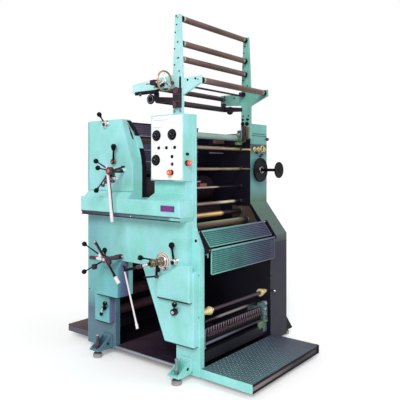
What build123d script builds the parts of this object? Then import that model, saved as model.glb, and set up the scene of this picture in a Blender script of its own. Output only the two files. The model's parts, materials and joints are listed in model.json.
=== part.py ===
from build123d import *
import os

os.makedirs("parts", exist_ok=True)

# Offset printing press, in millimetres. The front, with its footboard, is at -Y, the operator
# side is at -X, the drive side at +X and the floor at Z = 0. Pieces on the operator side are
# placed by how far they stand out from the side frame's outer face.

# Side frames
operator_face_x = -565
operator_plate = 50
clear_width = 922
drive_housing_width = 277
plate_inner_x = operator_face_x + operator_plate
drive_inner_x = plate_inner_x + clear_width
drive_outer_x = drive_inner_x + drive_housing_width
front_y = -570
frame_length = 1230
rear_y = front_y + frame_length
frame_bottom = 45
frame_top = 1925
knee_low = 952
knee_high = 1106
knee_setback = 70
column_front_y = front_y + knee_setback
drive_knee_high = 1224
drive_knee_setback = 208
drive_column_front_y = front_y + drive_knee_setback
frame_edge_round = 5

# Slot between the two columns of the operator frame, and the opening between its legs
slot_front_y = -184
slot_rear_y = 10
slot_floor = 1302
column_arc_rise = 425
column_arc_foot = frame_top - column_arc_rise
column_head_y = 196
opening_front_y = -347
opening_slope_foot = 257
opening_slope_head_y = -72
opening_top = 790
opening_rear_y = 316
opening_step_y = 165
opening_step_z = 520

# Running fits
running_clearance = 0.05
bore_end_gap = 1
journal_depth = 30
roller_end_gap = 6

# Printing cylinders, placed by their centres
cylinder_radius = 120
cylinder_journal = 30
plate_cylinder_y = 150
plate_cylinder_z = 1340
blanket_cylinder_y = 60
blanket_cylinder_z = 1110
impression_cylinder_y = -96
impression_cylinder_z = 917

# Rollers between the side frames
roller_journal = 10
upper_guide_y = -262
upper_guide_z = 1242
upper_guide_radius = 13
middle_guide_y = -262
middle_guide_z = 1152
middle_guide_radius = 22
lower_guide_y = -330
lower_guide_z = 1079
lower_guide_radius = 26
cone_roller_y = -530
cone_roller_z = 480
cone_roller_radius = 14
cone_radius = 32
cone_length = 90
cone_offset = 26
delivery_upper_inset = 210
delivery_upper_y = rear_y - delivery_upper_inset
delivery_upper_z = 470
delivery_upper_radius = 50
delivery_lower_inset = 230
delivery_lower_y = rear_y - delivery_lower_inset
delivery_lower_z = 330
delivery_lower_radius = 42

# Ties, bars and stretchers
tie_y = -258
tie_z_drop = 128
tie_z = frame_top - tie_z_drop
tie_radius = 25
tie_flange_radius = 42
tie_flange_width = 22
drive_head_depth = 100
drive_head_rear_y = drive_column_front_y + drive_head_depth
drive_rear_top = tie_z + tie_flange_radius
bar_y = -262
upper_bar_z_drop = 226
upper_bar_z = frame_top - upper_bar_z_drop
upper_bar_radius = 14
middle_bar_z_drop = 400
middle_bar_z = frame_top - middle_bar_z_drop
middle_bar_radius = 12
lower_bar_z = 1374
lower_bar_radius = 8
fountain_bar_y = -450
fountain_bar_z = 372
fountain_bar_radius = 11
toe_bar_y = -520
toe_bar_z = 238
toe_bar_radius = 10
stretcher_width = 40
stretcher_height = 80
stretcher_z = 110
stretcher_inset = 40

# Control box and what is on it, by (along Y, along Z) from the box's top rear corner
box_depth = 100
box_rear_y = slot_front_y
box_bottom = 1442
box_top_drop = 3
box_top = frame_top - box_top_drop
face_sheet = 2
face_margin = 8
dial_radius = 40
dial_depth = 16
dial_rim = 5
dial_bezel = 4
dial_places = [(-60, -149), (-212, -146), (-54, -329)]
button_radius = 12
button_depth = 10
button_places = [(-83, -240), (-159, -240), (-238, -239), (-213, -304), (-214, -358)]
stop_head_radius = 22
stop_head_depth = 14
stop_neck_radius = 12
stop_neck_depth = 18
stop_collar_radius = 20
stop_collar_depth = 6
face_stop_place = (-206, -419)
side_stop_out = 62
side_stop_drop = 351
side_switch_drop = 287
side_switch_radius = 11
side_switch_depth = 16

# Shelf with its plinth, its trim and the bare plate
shelf_depth = 160
shelf_front_y = -513
shelf_rear_y = 560
shelf_bottom = 1187
shelf_top = 1302
plinth_depth = 60
plinth_foot = shelf_top + 48
plinth_front_y = column_front_y + face_margin
ramp_rear_y = shelf_rear_y - 31
ramp_rise = 48
ramp_head = shelf_top + ramp_rise
trim_drop = 30
trim_inset = 10
plate_width = 130
plate_height = 42
plate_sheet = 3
plate_centre_y = -403
plate_centre_z = 1247

# Rear tower cover
tower_depth = 100
tower_front_y = slot_rear_y
tower_slope_foot = ramp_head + 200
tower_slope_head_y = 135
tower_rear_y = ramp_rear_y
tower_top_drop = 6
tower_top = frame_top - tower_top_drop
cover_edge_round = 10

# Flat operator panel and leg covers
panel_depth = 60
panel_front_y = -500
panel_rear_y = 579
panel_bottom = 800
leg_cover_front_y = -559
leg_cover_foot = 264
leg_cover_foot_rear_y = -283
leg_cover_head_rear_y = -50
raised_cover_depth = 100
raised_front_y = -550
raised_rear_y = -238
raised_head = 850
raised_height = 263
raised_foot = raised_head - raised_height
raised_slope_drop = 122
raised_slope_foot = raised_head - raised_slope_drop
raised_slope_head_y = -470
rear_upper_depth = 120
rear_upper_front_y = 159
rear_upper_rear_y = 411
rear_upper_foot = 515
rear_lower_front_y = 321
rear_lower_rear_y = 499
rear_lower_foot = 277

# Floorboards
footboard_left_overlap = 40
footboard_right_overhang = 28
footboard_reach = 435
footboard_bottom = 38
board_thickness = 67
rear_board_reach = 340
rear_board_side = 52
rear_board_bottom = 58
rear_board_thickness = 62
floorboard_bottom = 50
floorboard_top = 78

# Levelling feet: pad, screw and bracket
foot_out = 110
operator_foot_ys = [-445, 405]
drive_foot_ys = [-490, 405]
pad_radius = 37
pad_height = 42
screw_radius = 11
screw_top = 178
flange_bottom = 58
flange_thickness = 14
flange_width = 110
flange_reach = 150
bracket_back = 12
bracket_height = 190
rib_thickness = 12
rib_drop = 60

# Web lead stand on top of the frames
post_plate = 20
post_centre_y = -358
post_base_half = 48
post_top_half = 25
post_top_rise = 744
post_top = frame_top + post_top_rise
far_post_inset = 67
far_post_bottom_drop = 135
far_post_bottom = frame_top - far_post_bottom_drop
gusset_tip_y = -575
gusset_tip_top_rise = 272
gusset_tip_top = frame_top + gusset_tip_top_rise
gusset_tip_bottom_rise = 219
gusset_tip_bottom = frame_top + gusset_tip_bottom_rise
gusset_top_rise = 268
gusset_top = frame_top + gusset_top_rise
gusset_bottom_rise = 144
gusset_bottom = frame_top + gusset_bottom_rise
near_arm_root_top_rise = 302
near_arm_root_top = frame_top + near_arm_root_top_rise
near_arm_root_bottom_rise = 204
near_arm_root_bottom = frame_top + near_arm_root_bottom_rise
near_arm_rear_y = 113
near_arm_end_top_rise = 268
near_arm_end_top = frame_top + near_arm_end_top_rise
near_arm_end_bottom_rise = 200
near_arm_end_bottom = frame_top + near_arm_end_bottom_rise
far_arm_root_top_rise = 256
far_arm_root_top = frame_top + far_arm_root_top_rise
far_arm_root_bottom_rise = 154
far_arm_root_bottom = frame_top + far_arm_root_bottom_rise
far_arm_rear_y = -88
far_arm_end_top_rise = 259
far_arm_end_top = frame_top + far_arm_end_top_rise
far_arm_end_bottom_rise = 168
far_arm_end_bottom = frame_top + far_arm_end_bottom_rise
idler_radius = 23
idler_journal = 8
idler_rises = [720, 537, 421]
idler_heights = [frame_top + rise for rise in idler_rises]
front_idler_y = -550
front_idler_z_rise = 244
front_idler_z = frame_top + front_idler_z_rise
idler_collar_radius = 17
idler_collar_width = 14
cross_rod_y = -332
cross_rod_z_rise = 235
cross_rod_z = frame_top + cross_rod_z_rise
cross_rod_radius = 8
lead_roller_y = -122
lead_roller_z_rise = 223
lead_roller_z = frame_top + lead_roller_z_rise
lead_roller_radius = 21
compensator_z_rise = 131
compensator_z = frame_top + compensator_z_rise
compensator_radius = 23
compensator_disc_radius = 37
compensator_disc_width = 16
near_disc_gap = 30
far_disc_gap = 67
hanger_plate = 12
hanger_root_rise = 30
hanger_root_height = 34
clamp_block = 25
clamp_block_rear_y = -332
clamp_block_width = 67
clamp_block_top_rise = 197
clamp_block_top = frame_top + clamp_block_top_rise
clamp_block_height = 144
bearing_block_y = -205
bearing_block_length = 50
bearing_block_height = 36

# Handwheels
web_wheel_out = 90
web_wheel_y = -312
web_wheel_z_rise = 243
web_wheel_z = frame_top + web_wheel_z_rise
web_wheel_radius = 74
web_wheel_rim = 7
web_wheel_hub = 15
web_wheel_spoke = 5
web_shaft_radius = 8
web_shaft_reach = 190
drive_wheel_inset = 103
drive_wheel_z = 1515
drive_wheel_radius = 100
drive_wheel_rim = 11
drive_wheel_web = 10
drive_wheel_y = -403
drive_knob_radius = 64
drive_knob_rim = 8
drive_knob_y = -590
drive_shaft_radius = 13

# Front guards, each hung on pins in a bracket at either side
guard_sheet = 4
guard_roll = 7
guard_pin = 5
guard_side_gap = 20
upper_guard_far_gap = 44
upper_hinge_y = -524
upper_hinge_z = 1072
upper_guard_foot_y = -607
upper_guard_foot_z = 965
lower_hinge_y = -617
lower_hinge_z = 946
lower_guard_foot = 768
guard_bracket = 8

# Screens behind the front opening and at the rear
screen_sheet = 4
middle_screen_y = 230
middle_screen_bottom = 1480
middle_screen_top_drop = 15
middle_screen_top = frame_top - middle_screen_top_drop
rear_screen_inset = 26
rear_screen_bottom = 135
rear_screen_top = drive_rear_top - rear_screen_inset

# Ink fountain
fountain_front_y = -505
fountain_rear_y = -385
fountain_lip = 345
fountain_wall = 12
fountain_floor_front = 250
fountain_floor_rear = 296
fountain_bracket_width = 60
fountain_gap = 4
key_count = 24
key_radius = 7
key_length = 30
key_head_radius = 10
key_head_length = 10
key_z = 300

# Lever pivots, placed by (y, z) on the cover that carries them
pin_depth = 28
tower_top_pivot = (311, tower_top - 33)
tower_middle_pivot = (209, 1584)
tower_bar_pivot = (104, 1513)
lower_bar_pivot = (160, 838)
ratchet_pivot = (-274, raised_head - 1)
side_lever_pivot = (-394, raised_head + 11)
low_lever_pivot = (-394, raised_foot - 89)
rear_leg_pivot = (366, 394)
small_pin = 9
spindle_pin = 14
barrel_pin = 22
hub_gap = 3
rod_radius = 6
knob_radius = 17
small_knob = 14
bar_radius = 11

# Lever hubs, by (stand-off from the cover, radius, length)
tower_top_hub = (hub_gap, 24, 26)
tower_middle_hub = (hub_gap, 20, 30)
tower_bar_hub = (128, 30, 36)
lower_bar_hub = (162, 26, 40)
ratchet_hub = (116, 26, 30)
side_lever_hub = (hub_gap, 22, 34)
low_lever_hub = (hub_gap, 24, 34)
rear_leg_hub = (hub_gap, 16, 34)

# Lever rods, each from one (stand-off, along Y, along Z) from the pivot to another, with the
# rod's radius and its knob's
tower_top_rods = [((15, 0, 0), (45, 34, 75), rod_radius, knob_radius)]
tower_middle_rods = [((18, 0, 0), (40, -28, 117), rod_radius, knob_radius)]
tower_bar_rods = [
    ((150, 29, 45), (150, -30, -387), bar_radius, 0),
    ((140, 0, 0), (140, 168, 75), rod_radius, knob_radius),
    ((136, 0, 0), (136, 151, 22), rod_radius, knob_radius),
    ((144, 0, 0), (144, 158, -152), rod_radius, knob_radius),
    ((140, 0, 0), (140, -152, 32), rod_radius, 0),
    ((144, 0, 0), (144, -146, -6), rod_radius, 0),
]
lower_bar_rods = [
    ((190, 115, 128), (190, -162, -162), bar_radius, 0),
    ((176, 0, 0), (176, 257, 93), rod_radius, knob_radius),
    ((180, 0, 0), (180, 11, 68), rod_radius, knob_radius),
    ((180, 0, 0), (180, 180, -4), small_knob, 0),
    ((176, 0, 0), (176, 260, -128), rod_radius, knob_radius),
    ((184, 0, 0), (184, -190, 42), bar_radius, 0),
]
ratchet_rods = [
    ((130, 0, 0), (130, 281, -85), bar_radius, 0),
    ((130, 281, -79), (130, 140, -495), rod_radius, 0),
    ((50, 12, 9), (190, 56, 43), rod_radius, knob_radius),
    ((70, 0, 0), (70, -11, -53), rod_radius, small_knob),
    ((70, 0, 0), (70, 6, -102), bar_radius, small_knob),
    ((70, 6, -102), (190, 10, -90), rod_radius, 0),
]
side_lever_rods = [((24, 0, 0), (50, -4, 122), rod_radius, knob_radius)]
low_lever_rods = [((24, 0, 0), (74, -52, 74), rod_radius, knob_radius)]
rear_leg_rods = [
    ((24, 0, 0), (50, -49, 54), rod_radius, knob_radius),
    ((24, 0, 0), (70, -43, -28), rod_radius, knob_radius),
]
flange_disc_radius = 70
flange_disc_depth = 14
flange_ring_radius = 48
flange_ring_depth = 14


def save(part, name):
    """Labels one piece and writes its file."""
    part.label = name
    export_step(part, f"parts/{name}.step")


def outward(distance):
    """X of a point that stands out from the operator frame's outer face."""
    return operator_face_x - distance


def side_piece(points, x_low, x_high, bores=(), edge_round=0):
    """A plate or cover with an outline seen from the side, drilled from its low-X face."""
    with BuildPart() as piece:
        with BuildSketch(Plane.YZ.offset(x_low)):
            with BuildLine():
                Polyline(*points, close=True)
            make_face()
        extrude(amount=x_high - x_low)
        if edge_round:
            fillet(piece.faces().sort_by(Axis.X)[0].edges(), edge_round)
        for y, z, radius in bores:
            with BuildSketch(Plane.YZ.offset(x_low)):
                with Locations((y, z)):
                    Circle(radius + running_clearance)
            extrude(amount=pin_depth + bore_end_gap, mode=Mode.SUBTRACT)
    return piece


def roller(y, z, radius, x_start, x_end, journal, reach):
    """A roller along X with a journal at each end."""
    with BuildPart() as piece:
        with BuildSketch(Plane.YZ.offset(x_start)):
            with Locations((y, z)):
                Circle(radius)
        extrude(amount=x_end - x_start)
        with BuildSketch(Plane.YZ.offset(x_start - reach)):
            with Locations((y, z)):
                Circle(journal)
        extrude(amount=x_end - x_start + 2 * reach)
    return piece


def frame_roller(y, z, radius, journal):
    """A roller that runs between the two side frames."""
    reach = roller_end_gap + journal_depth
    return roller(y, z, radius, plate_inner_x + roller_end_gap, drive_inner_x - roller_end_gap, journal, reach)


def lever(pivot, face_out, hub, pin, rods):
    """A pin that turns in a bore, a hub on it, and rods that may end in ball knobs."""
    hub_stand_off, hub_radius, hub_length = hub
    hub_out = face_out + hub_stand_off
    with BuildPart() as piece:
        with BuildSketch(Plane.YZ.offset(outward(hub_out + hub_length))):
            with Locations(pivot):
                Circle(hub_radius)
        extrude(amount=hub_length)
        with BuildSketch(Plane.YZ.offset(outward(hub_out))):
            with Locations(pivot):
                Circle(pin)
        extrude(amount=hub_stand_off + pin_depth)
        for start, end, radius, knob in rods:
            root = Vector(outward(face_out + start[0]), pivot[0] + start[1], pivot[1] + start[2])
            tip = Vector(outward(face_out + end[0]), pivot[0] + end[1], pivot[1] + end[2])
            with BuildSketch(Plane(origin=root, z_dir=tip - root)):
                Circle(radius)
            extrude(amount=(tip - root).length)
            if knob:
                with Locations(tip):
                    Sphere(knob)
    return piece


# Operator side frame: one plate with a slot between its columns and an opening between its legs
frame_journals = [
    (plate_cylinder_y, plate_cylinder_z, cylinder_journal),
    (blanket_cylinder_y, blanket_cylinder_z, cylinder_journal),
    (impression_cylinder_y, impression_cylinder_z, cylinder_journal),
    (upper_guide_y, upper_guide_z, roller_journal),
    (middle_guide_y, middle_guide_z, roller_journal),
    (lower_guide_y, lower_guide_z, roller_journal),
    (cone_roller_y, cone_roller_z, roller_journal),
    (delivery_upper_y, delivery_upper_z, roller_journal),
    (delivery_lower_y, delivery_lower_z, roller_journal),
]
with BuildPart() as operator_side_frame:
    with BuildSketch(Plane.YZ.offset(operator_face_x)):
        with BuildLine():
            Polyline(
                (front_y, frame_bottom),
                (front_y, knee_low),
                (column_front_y, knee_high),
                (column_front_y, frame_top),
                (slot_front_y, frame_top),
                (slot_front_y, slot_floor),
                (slot_rear_y, slot_floor),
                (slot_rear_y, column_arc_foot),
            )
            TangentArc((slot_rear_y, column_arc_foot), (column_head_y, frame_top), tangent=(0, 1))
            Polyline(
                (column_head_y, frame_top),
                (rear_y, frame_top),
                (rear_y, frame_bottom),
                (opening_rear_y, frame_bottom),
                (opening_rear_y, opening_step_z),
                (opening_step_y, opening_step_z),
                (opening_step_y, opening_top),
                (opening_slope_head_y, opening_top),
                (opening_front_y, opening_slope_foot),
                (opening_front_y, frame_bottom),
                (front_y, frame_bottom),
            )
        make_face()
    extrude(amount=operator_plate)
    for y, z, journal in frame_journals:
        with BuildSketch(Plane.YZ.offset(plate_inner_x)):
            with Locations((y, z)):
                Circle(journal + running_clearance)
        extrude(amount=-(journal_depth + bore_end_gap), mode=Mode.SUBTRACT)
save(operator_side_frame.part, "operator_side_frame")

# Drive side housing: a closed gear case whose front steps back above the knee
with BuildPart() as drive_side_housing:
    with BuildSketch(Plane.YZ.offset(drive_inner_x)):
        with BuildLine():
            Polyline(
                (front_y, frame_bottom),
                (front_y, knee_low),
                (drive_column_front_y, drive_knee_high),
                (drive_column_front_y, frame_top),
                (drive_head_rear_y, frame_top),
                (drive_head_rear_y, drive_rear_top),
                (rear_y, drive_rear_top),
                (rear_y, frame_bottom),
                close=True,
            )
        make_face()
    extrude(amount=drive_housing_width)
    fillet(drive_side_housing.faces().sort_by(Axis.X)[-1].edges(), frame_edge_round)
    for y, z, journal in frame_journals:
        with BuildSketch(Plane.YZ.offset(drive_inner_x)):
            with Locations((y, z)):
                Circle(journal + running_clearance)
        extrude(amount=journal_depth + bore_end_gap, mode=Mode.SUBTRACT)
    drive_wheel_x = drive_inner_x + drive_wheel_inset
    with BuildSketch(Plane.XZ.offset(-drive_column_front_y)):
        with Locations((drive_wheel_x, drive_wheel_z)):
            Circle(drive_shaft_radius + running_clearance)
    extrude(amount=-(journal_depth + bore_end_gap), mode=Mode.SUBTRACT)
save(drive_side_housing.part, "drive_side_housing")

# Cross ties: the tube at the top and two stretchers near the floor
with BuildPart() as cross_ties:
    with BuildSketch(Plane.YZ.offset(plate_inner_x)):
        with Locations((tie_y, tie_z)):
            Circle(tie_radius)
    extrude(amount=clear_width)
    with BuildSketch(Plane.YZ.offset(plate_inner_x), Plane.YZ.offset(drive_inner_x - tie_flange_width)):
        with Locations((tie_y, tie_z)):
            Circle(tie_flange_radius)
    extrude(amount=tie_flange_width)
    stretcher_ys = [front_y + stretcher_inset, rear_y - stretcher_inset - stretcher_width]
    for y in stretcher_ys:
        with BuildSketch(Plane.YZ.offset(plate_inner_x)):
            with Locations((y, stretcher_z)):
                Rectangle(stretcher_width, stretcher_height, align=(Align.MIN, Align.MIN))
        extrude(amount=clear_width)
save(cross_ties.part, "cross_ties")

# Fixed bars between the side frames
fixed_bar_places = [
    (bar_y, upper_bar_z, upper_bar_radius),
    (bar_y, middle_bar_z, middle_bar_radius),
    (bar_y, lower_bar_z, lower_bar_radius),
    (fountain_bar_y, fountain_bar_z, fountain_bar_radius),
    (toe_bar_y, toe_bar_z, toe_bar_radius),
]
with BuildPart() as fixed_bars:
    for y, z, radius in fixed_bar_places:
        with BuildSketch(Plane.YZ.offset(plate_inner_x)):
            with Locations((y, z)):
                Circle(radius)
        extrude(amount=clear_width)
save(fixed_bars.part, "fixed_bars")

# Control box on the front column, with its face sheet, instruments and stop buttons
control_box_outline = [
    (column_front_y, box_bottom),
    (column_front_y, box_top),
    (box_rear_y, box_top),
    (box_rear_y, box_bottom),
]
control_box = side_piece(control_box_outline, outward(box_depth), operator_face_x, edge_round=face_sheet)
save(control_box.part, "control_box")

control_face_outline = [
    (column_front_y + face_margin, box_bottom + face_margin),
    (column_front_y + face_margin, box_top - face_margin),
    (box_rear_y - face_margin, box_top - face_margin),
    (box_rear_y - face_margin, box_bottom + face_margin),
]
control_face = side_piece(control_face_outline, outward(box_depth + face_sheet), outward(box_depth))
save(control_face.part, "control_face")

face_out = box_depth + face_sheet
with BuildPart() as panel_instruments:
    with BuildSketch(Plane.YZ.offset(outward(face_out + dial_depth))):
        with Locations((box_rear_y, box_top)):
            with Locations(*dial_places):
                Circle(dial_radius)
    extrude(amount=dial_depth)
    with BuildSketch(Plane.YZ.offset(outward(face_out + dial_depth))):
        with Locations((box_rear_y, box_top)):
            with Locations(*dial_places):
                Circle(dial_radius - dial_rim)
    extrude(amount=dial_bezel, mode=Mode.SUBTRACT)
    with BuildSketch(Plane.YZ.offset(outward(face_out + button_depth))):
        with Locations((box_rear_y, box_top)):
            with Locations(*button_places):
                Circle(button_radius)
    extrude(amount=button_depth)
    with BuildSketch(Plane.XZ.offset(-column_front_y)):
        with Locations((outward(side_stop_out), box_top - side_switch_drop)):
            Circle(side_switch_radius)
    extrude(amount=side_switch_depth)
save(panel_instruments.part, "panel_instruments")

face_stop_plane = Plane(
    origin=(outward(face_out), box_rear_y + face_stop_place[0], box_top + face_stop_place[1]),
    x_dir=(0, 1, 0),
    z_dir=(-1, 0, 0),
)
side_stop_plane = Plane(
    origin=(outward(side_stop_out), column_front_y, box_top - side_stop_drop),
    x_dir=(1, 0, 0),
    z_dir=(0, -1, 0),
)
with BuildPart() as emergency_stops:
    with BuildSketch(face_stop_plane, side_stop_plane):
        Circle(stop_collar_radius)
    extrude(amount=stop_collar_depth)
    with BuildSketch(face_stop_plane, side_stop_plane):
        Circle(stop_neck_radius)
    extrude(amount=stop_neck_depth)
    with BuildSketch(face_stop_plane.offset(stop_neck_depth), side_stop_plane.offset(stop_neck_depth)):
        Circle(stop_head_radius)
    extrude(amount=stop_head_depth)
save(emergency_stops.part, "emergency_stops")

# Shelf cover: the long box, the ramp under the tower, and the plinth under the control box
with BuildPart() as shelf_cover:
    with BuildSketch(Plane.YZ.offset(outward(shelf_depth))):
        with BuildLine():
            Polyline(
                (shelf_front_y, shelf_bottom),
                (shelf_front_y, shelf_top),
                (shelf_rear_y, shelf_top),
                (shelf_rear_y, shelf_bottom),
                close=True,
            )
        make_face()
    extrude(amount=shelf_depth)
    fillet(shelf_cover.faces().sort_by(Axis.X)[0].edges(), cover_edge_round)
    with BuildSketch(Plane.XZ.offset(-slot_rear_y)):
        with BuildLine():
            Polyline(
                (outward(shelf_depth - cover_edge_round), shelf_top),
                (outward(tower_depth), ramp_head),
                (operator_face_x, ramp_head),
                (operator_face_x, shelf_top),
                close=True,
            )
        make_face()
    extrude(amount=-(ramp_rear_y - slot_rear_y))
    with BuildSketch(Plane.XZ.offset(-plinth_front_y)):
        with BuildLine():
            Polyline(
                (outward(shelf_depth - cover_edge_round), shelf_top),
                (outward(plinth_depth), plinth_foot),
                (outward(plinth_depth), box_bottom),
                (operator_face_x, box_bottom),
                (operator_face_x, shelf_top),
                close=True,
            )
        make_face()
    extrude(amount=-(box_rear_y - plinth_front_y))
save(shelf_cover.part, "shelf_cover")

shelf_trim_outline = [
    (shelf_front_y, shelf_bottom),
    (shelf_rear_y, shelf_bottom),
    (shelf_rear_y - trim_inset, shelf_bottom - trim_drop),
    (shelf_front_y + trim_inset, shelf_bottom - trim_drop),
]
shelf_trim = side_piece(shelf_trim_outline, outward(shelf_depth - trim_inset), operator_face_x)
save(shelf_trim.part, "shelf_trim")

with BuildPart() as nameplate:
    with BuildSketch(Plane.YZ.offset(outward(shelf_depth + plate_sheet))):
        with Locations((plate_centre_y, plate_centre_z)):
            Rectangle(plate_width, plate_height)
    extrude(amount=plate_sheet)
save(nameplate.part, "nameplate")

# Rear tower cover, with its sloping front edge
tower_outline = [
    (tower_front_y, ramp_head),
    (tower_front_y, tower_slope_foot),
    (tower_slope_head_y, tower_top),
    (tower_rear_y, tower_top),
    (tower_rear_y, ramp_head),
]
tower_bores = [(*tower_top_pivot, small_pin), (*tower_middle_pivot, small_pin), (*tower_bar_pivot, spindle_pin)]
rear_tower_cover = side_piece(tower_outline, outward(tower_depth), operator_face_x, tower_bores, cover_edge_round)
save(rear_tower_cover.part, "rear_tower_cover")

# Flat operator panel under the shelf
operator_panel_outline = [
    (panel_front_y, panel_bottom),
    (panel_front_y, shelf_bottom - trim_drop),
    (panel_rear_y, shelf_bottom - trim_drop),
    (panel_rear_y, panel_bottom),
]
panel_bores = [(*lower_bar_pivot, spindle_pin), (*ratchet_pivot, barrel_pin), (*side_lever_pivot, small_pin)]
operator_panel = side_piece(operator_panel_outline, outward(panel_depth), operator_face_x, panel_bores)
save(operator_panel.part, "operator_panel")

# Leg covers: the sloping one with a raised box on it, and two on the rear leg
front_leg_outline = [
    (leg_cover_front_y, leg_cover_foot),
    (leg_cover_front_y, panel_bottom),
    (leg_cover_head_rear_y, panel_bottom),
    (leg_cover_foot_rear_y, leg_cover_foot),
]
front_leg_lower_cover = side_piece(
    front_leg_outline, outward(panel_depth), operator_face_x, [(*low_lever_pivot, small_pin)], frame_edge_round
)
save(front_leg_lower_cover.part, "front_leg_lower_cover")

raised_outline = [
    (raised_front_y, raised_foot),
    (raised_front_y, raised_head),
    (raised_slope_head_y, raised_head),
    (raised_rear_y, raised_slope_foot),
    (raised_rear_y, raised_foot),
]
front_leg_upper_cover = side_piece(
    raised_outline, outward(raised_cover_depth), outward(panel_depth), edge_round=cover_edge_round
)
save(front_leg_upper_cover.part, "front_leg_upper_cover")

rear_upper_outline = [
    (rear_upper_front_y, rear_upper_foot),
    (rear_upper_front_y, panel_bottom),
    (rear_upper_rear_y, panel_bottom),
    (rear_upper_rear_y, rear_upper_foot),
]
rear_leg_upper_cover = side_piece(
    rear_upper_outline, outward(rear_upper_depth), operator_face_x, edge_round=cover_edge_round
)
save(rear_leg_upper_cover.part, "rear_leg_upper_cover")

rear_lower_outline = [
    (rear_lower_front_y, rear_lower_foot),
    (rear_lower_front_y, rear_upper_foot),
    (rear_lower_rear_y, rear_upper_foot),
    (rear_lower_rear_y, rear_lower_foot),
]
rear_leg_lower_cover = side_piece(
    rear_lower_outline, outward(panel_depth), operator_face_x, [(*rear_leg_pivot, small_pin)], frame_edge_round
)
save(rear_leg_lower_cover.part, "rear_leg_lower_cover")

# Floorboards in front of, behind and inside the press
with BuildPart() as front_footboard:
    with BuildSketch(Plane.XY.offset(footboard_bottom)):
        with Locations((plate_inner_x - footboard_left_overlap, front_y)):
            Rectangle(
                clear_width + footboard_left_overlap + footboard_right_overhang,
                footboard_reach,
                align=(Align.MIN, Align.MAX),
            )
    extrude(amount=board_thickness)
save(front_footboard.part, "front_footboard")

with BuildPart() as rear_platform:
    with BuildSketch(Plane.XY.offset(rear_board_bottom)):
        with Locations((operator_face_x + rear_board_side, rear_y)):
            Rectangle(
                drive_inner_x - operator_face_x,
                rear_board_reach,
                align=(Align.MIN, Align.MIN),
            )
    extrude(amount=rear_board_thickness)
save(rear_platform.part, "rear_platform")

with BuildPart() as middle_floorboard:
    with BuildSketch(Plane.XY.offset(floorboard_bottom)):
        with Locations((operator_face_x, opening_front_y)):
            Rectangle(
                drive_inner_x - operator_face_x,
                opening_rear_y - opening_front_y,
                align=(Align.MIN, Align.MIN),
            )
    extrude(amount=floorboard_top - floorboard_bottom)
save(middle_floorboard.part, "middle_floorboard")

# Levelling feet: each a ribbed bracket on the frame, a screw through it and a round pad
foot_places = [(operator_face_x, -1, y) for y in operator_foot_ys]
foot_places += [(drive_outer_x, 1, y) for y in drive_foot_ys]
with BuildPart() as levelling_feet:
    for face_x, side, y in foot_places:
        with BuildSketch(Plane.XY):
            with Locations((face_x + side * foot_out, y)):
                Circle(pad_radius)
        extrude(amount=pad_height)
        with BuildSketch(Plane.XY.offset(pad_height)):
            with Locations((face_x + side * foot_out, y)):
                Circle(screw_radius)
        extrude(amount=screw_top - pad_height)
        with BuildSketch(Plane.XY.offset(flange_bottom)):
            with Locations((face_x + side * flange_reach / 2, y)):
                Rectangle(flange_reach, flange_width)
        extrude(amount=flange_thickness)
        with BuildSketch(Plane.XY.offset(flange_bottom)):
            with Locations((face_x + side * bracket_back / 2, y)):
                Rectangle(bracket_back, flange_width)
        extrude(amount=bracket_height)
        with BuildSketch(Plane.XZ.offset(-y)):
            with BuildLine():
                Polyline(
                    (face_x, flange_bottom),
                    (face_x + side * (foot_out - rib_thickness), flange_bottom),
                    (face_x, flange_bottom + bracket_height - rib_drop),
                    close=True,
                )
            make_face()
        extrude(amount=rib_thickness / 2, both=True)
save(levelling_feet.part, "levelling_feet")

# Web lead stand: near post on the operator frame, far post on a block beside the housing
near_post_x = operator_face_x
far_post_x = drive_inner_x - far_post_inset
post_rear_y = post_centre_y + post_base_half
post_front_y = post_centre_y - post_base_half
hanger_foot_y = post_rear_y - hanger_plate
idler_places = [(post_centre_y, z) for z in idler_heights] + [(front_idler_y, front_idler_z)]


def post_outline(foot_z, arm_rear_y, arm_end_top, arm_end_bottom, arm_root_top, arm_root_bottom):
    """Outline of a post with its front gusset and rear arm."""
    return [
        (post_front_y, foot_z),
        (post_rear_y, foot_z),
        (post_rear_y, arm_root_bottom),
        (arm_rear_y, arm_end_bottom),
        (arm_rear_y, arm_end_top),
        (post_rear_y, arm_root_top),
        (post_centre_y + post_top_half, post_top),
        (post_centre_y - post_top_half, post_top),
        (post_front_y, gusset_top),
        (gusset_tip_y, gusset_tip_top),
        (gusset_tip_y, gusset_tip_bottom),
        (post_front_y, gusset_bottom),
    ]


def web_post(outline, x_low):
    """A post plate, bored through for the shafts of its rollers."""
    post_bores = [(y, z, idler_journal) for y, z in idler_places + [(lead_roller_y, lead_roller_z)]]
    with BuildPart() as piece:
        with BuildSketch(Plane.YZ.offset(x_low)):
            with BuildLine():
                Polyline(*outline, close=True)
            make_face()
            for y, z, radius in post_bores:
                with Locations((y, z)):
                    Circle(radius + running_clearance, mode=Mode.SUBTRACT)
        extrude(amount=post_plate)
    return piece


near_outline = post_outline(
    frame_top, near_arm_rear_y, near_arm_end_top, near_arm_end_bottom, near_arm_root_top, near_arm_root_bottom
)
near_web_post = web_post(near_outline, near_post_x)
save(near_web_post.part, "near_web_post")
far_outline = post_outline(
    far_post_bottom, far_arm_rear_y, far_arm_end_top, far_arm_end_bottom, far_arm_root_top, far_arm_root_bottom
)
far_web_post = web_post(far_outline, far_post_x)
save(far_web_post.part, "far_web_post")

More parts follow.
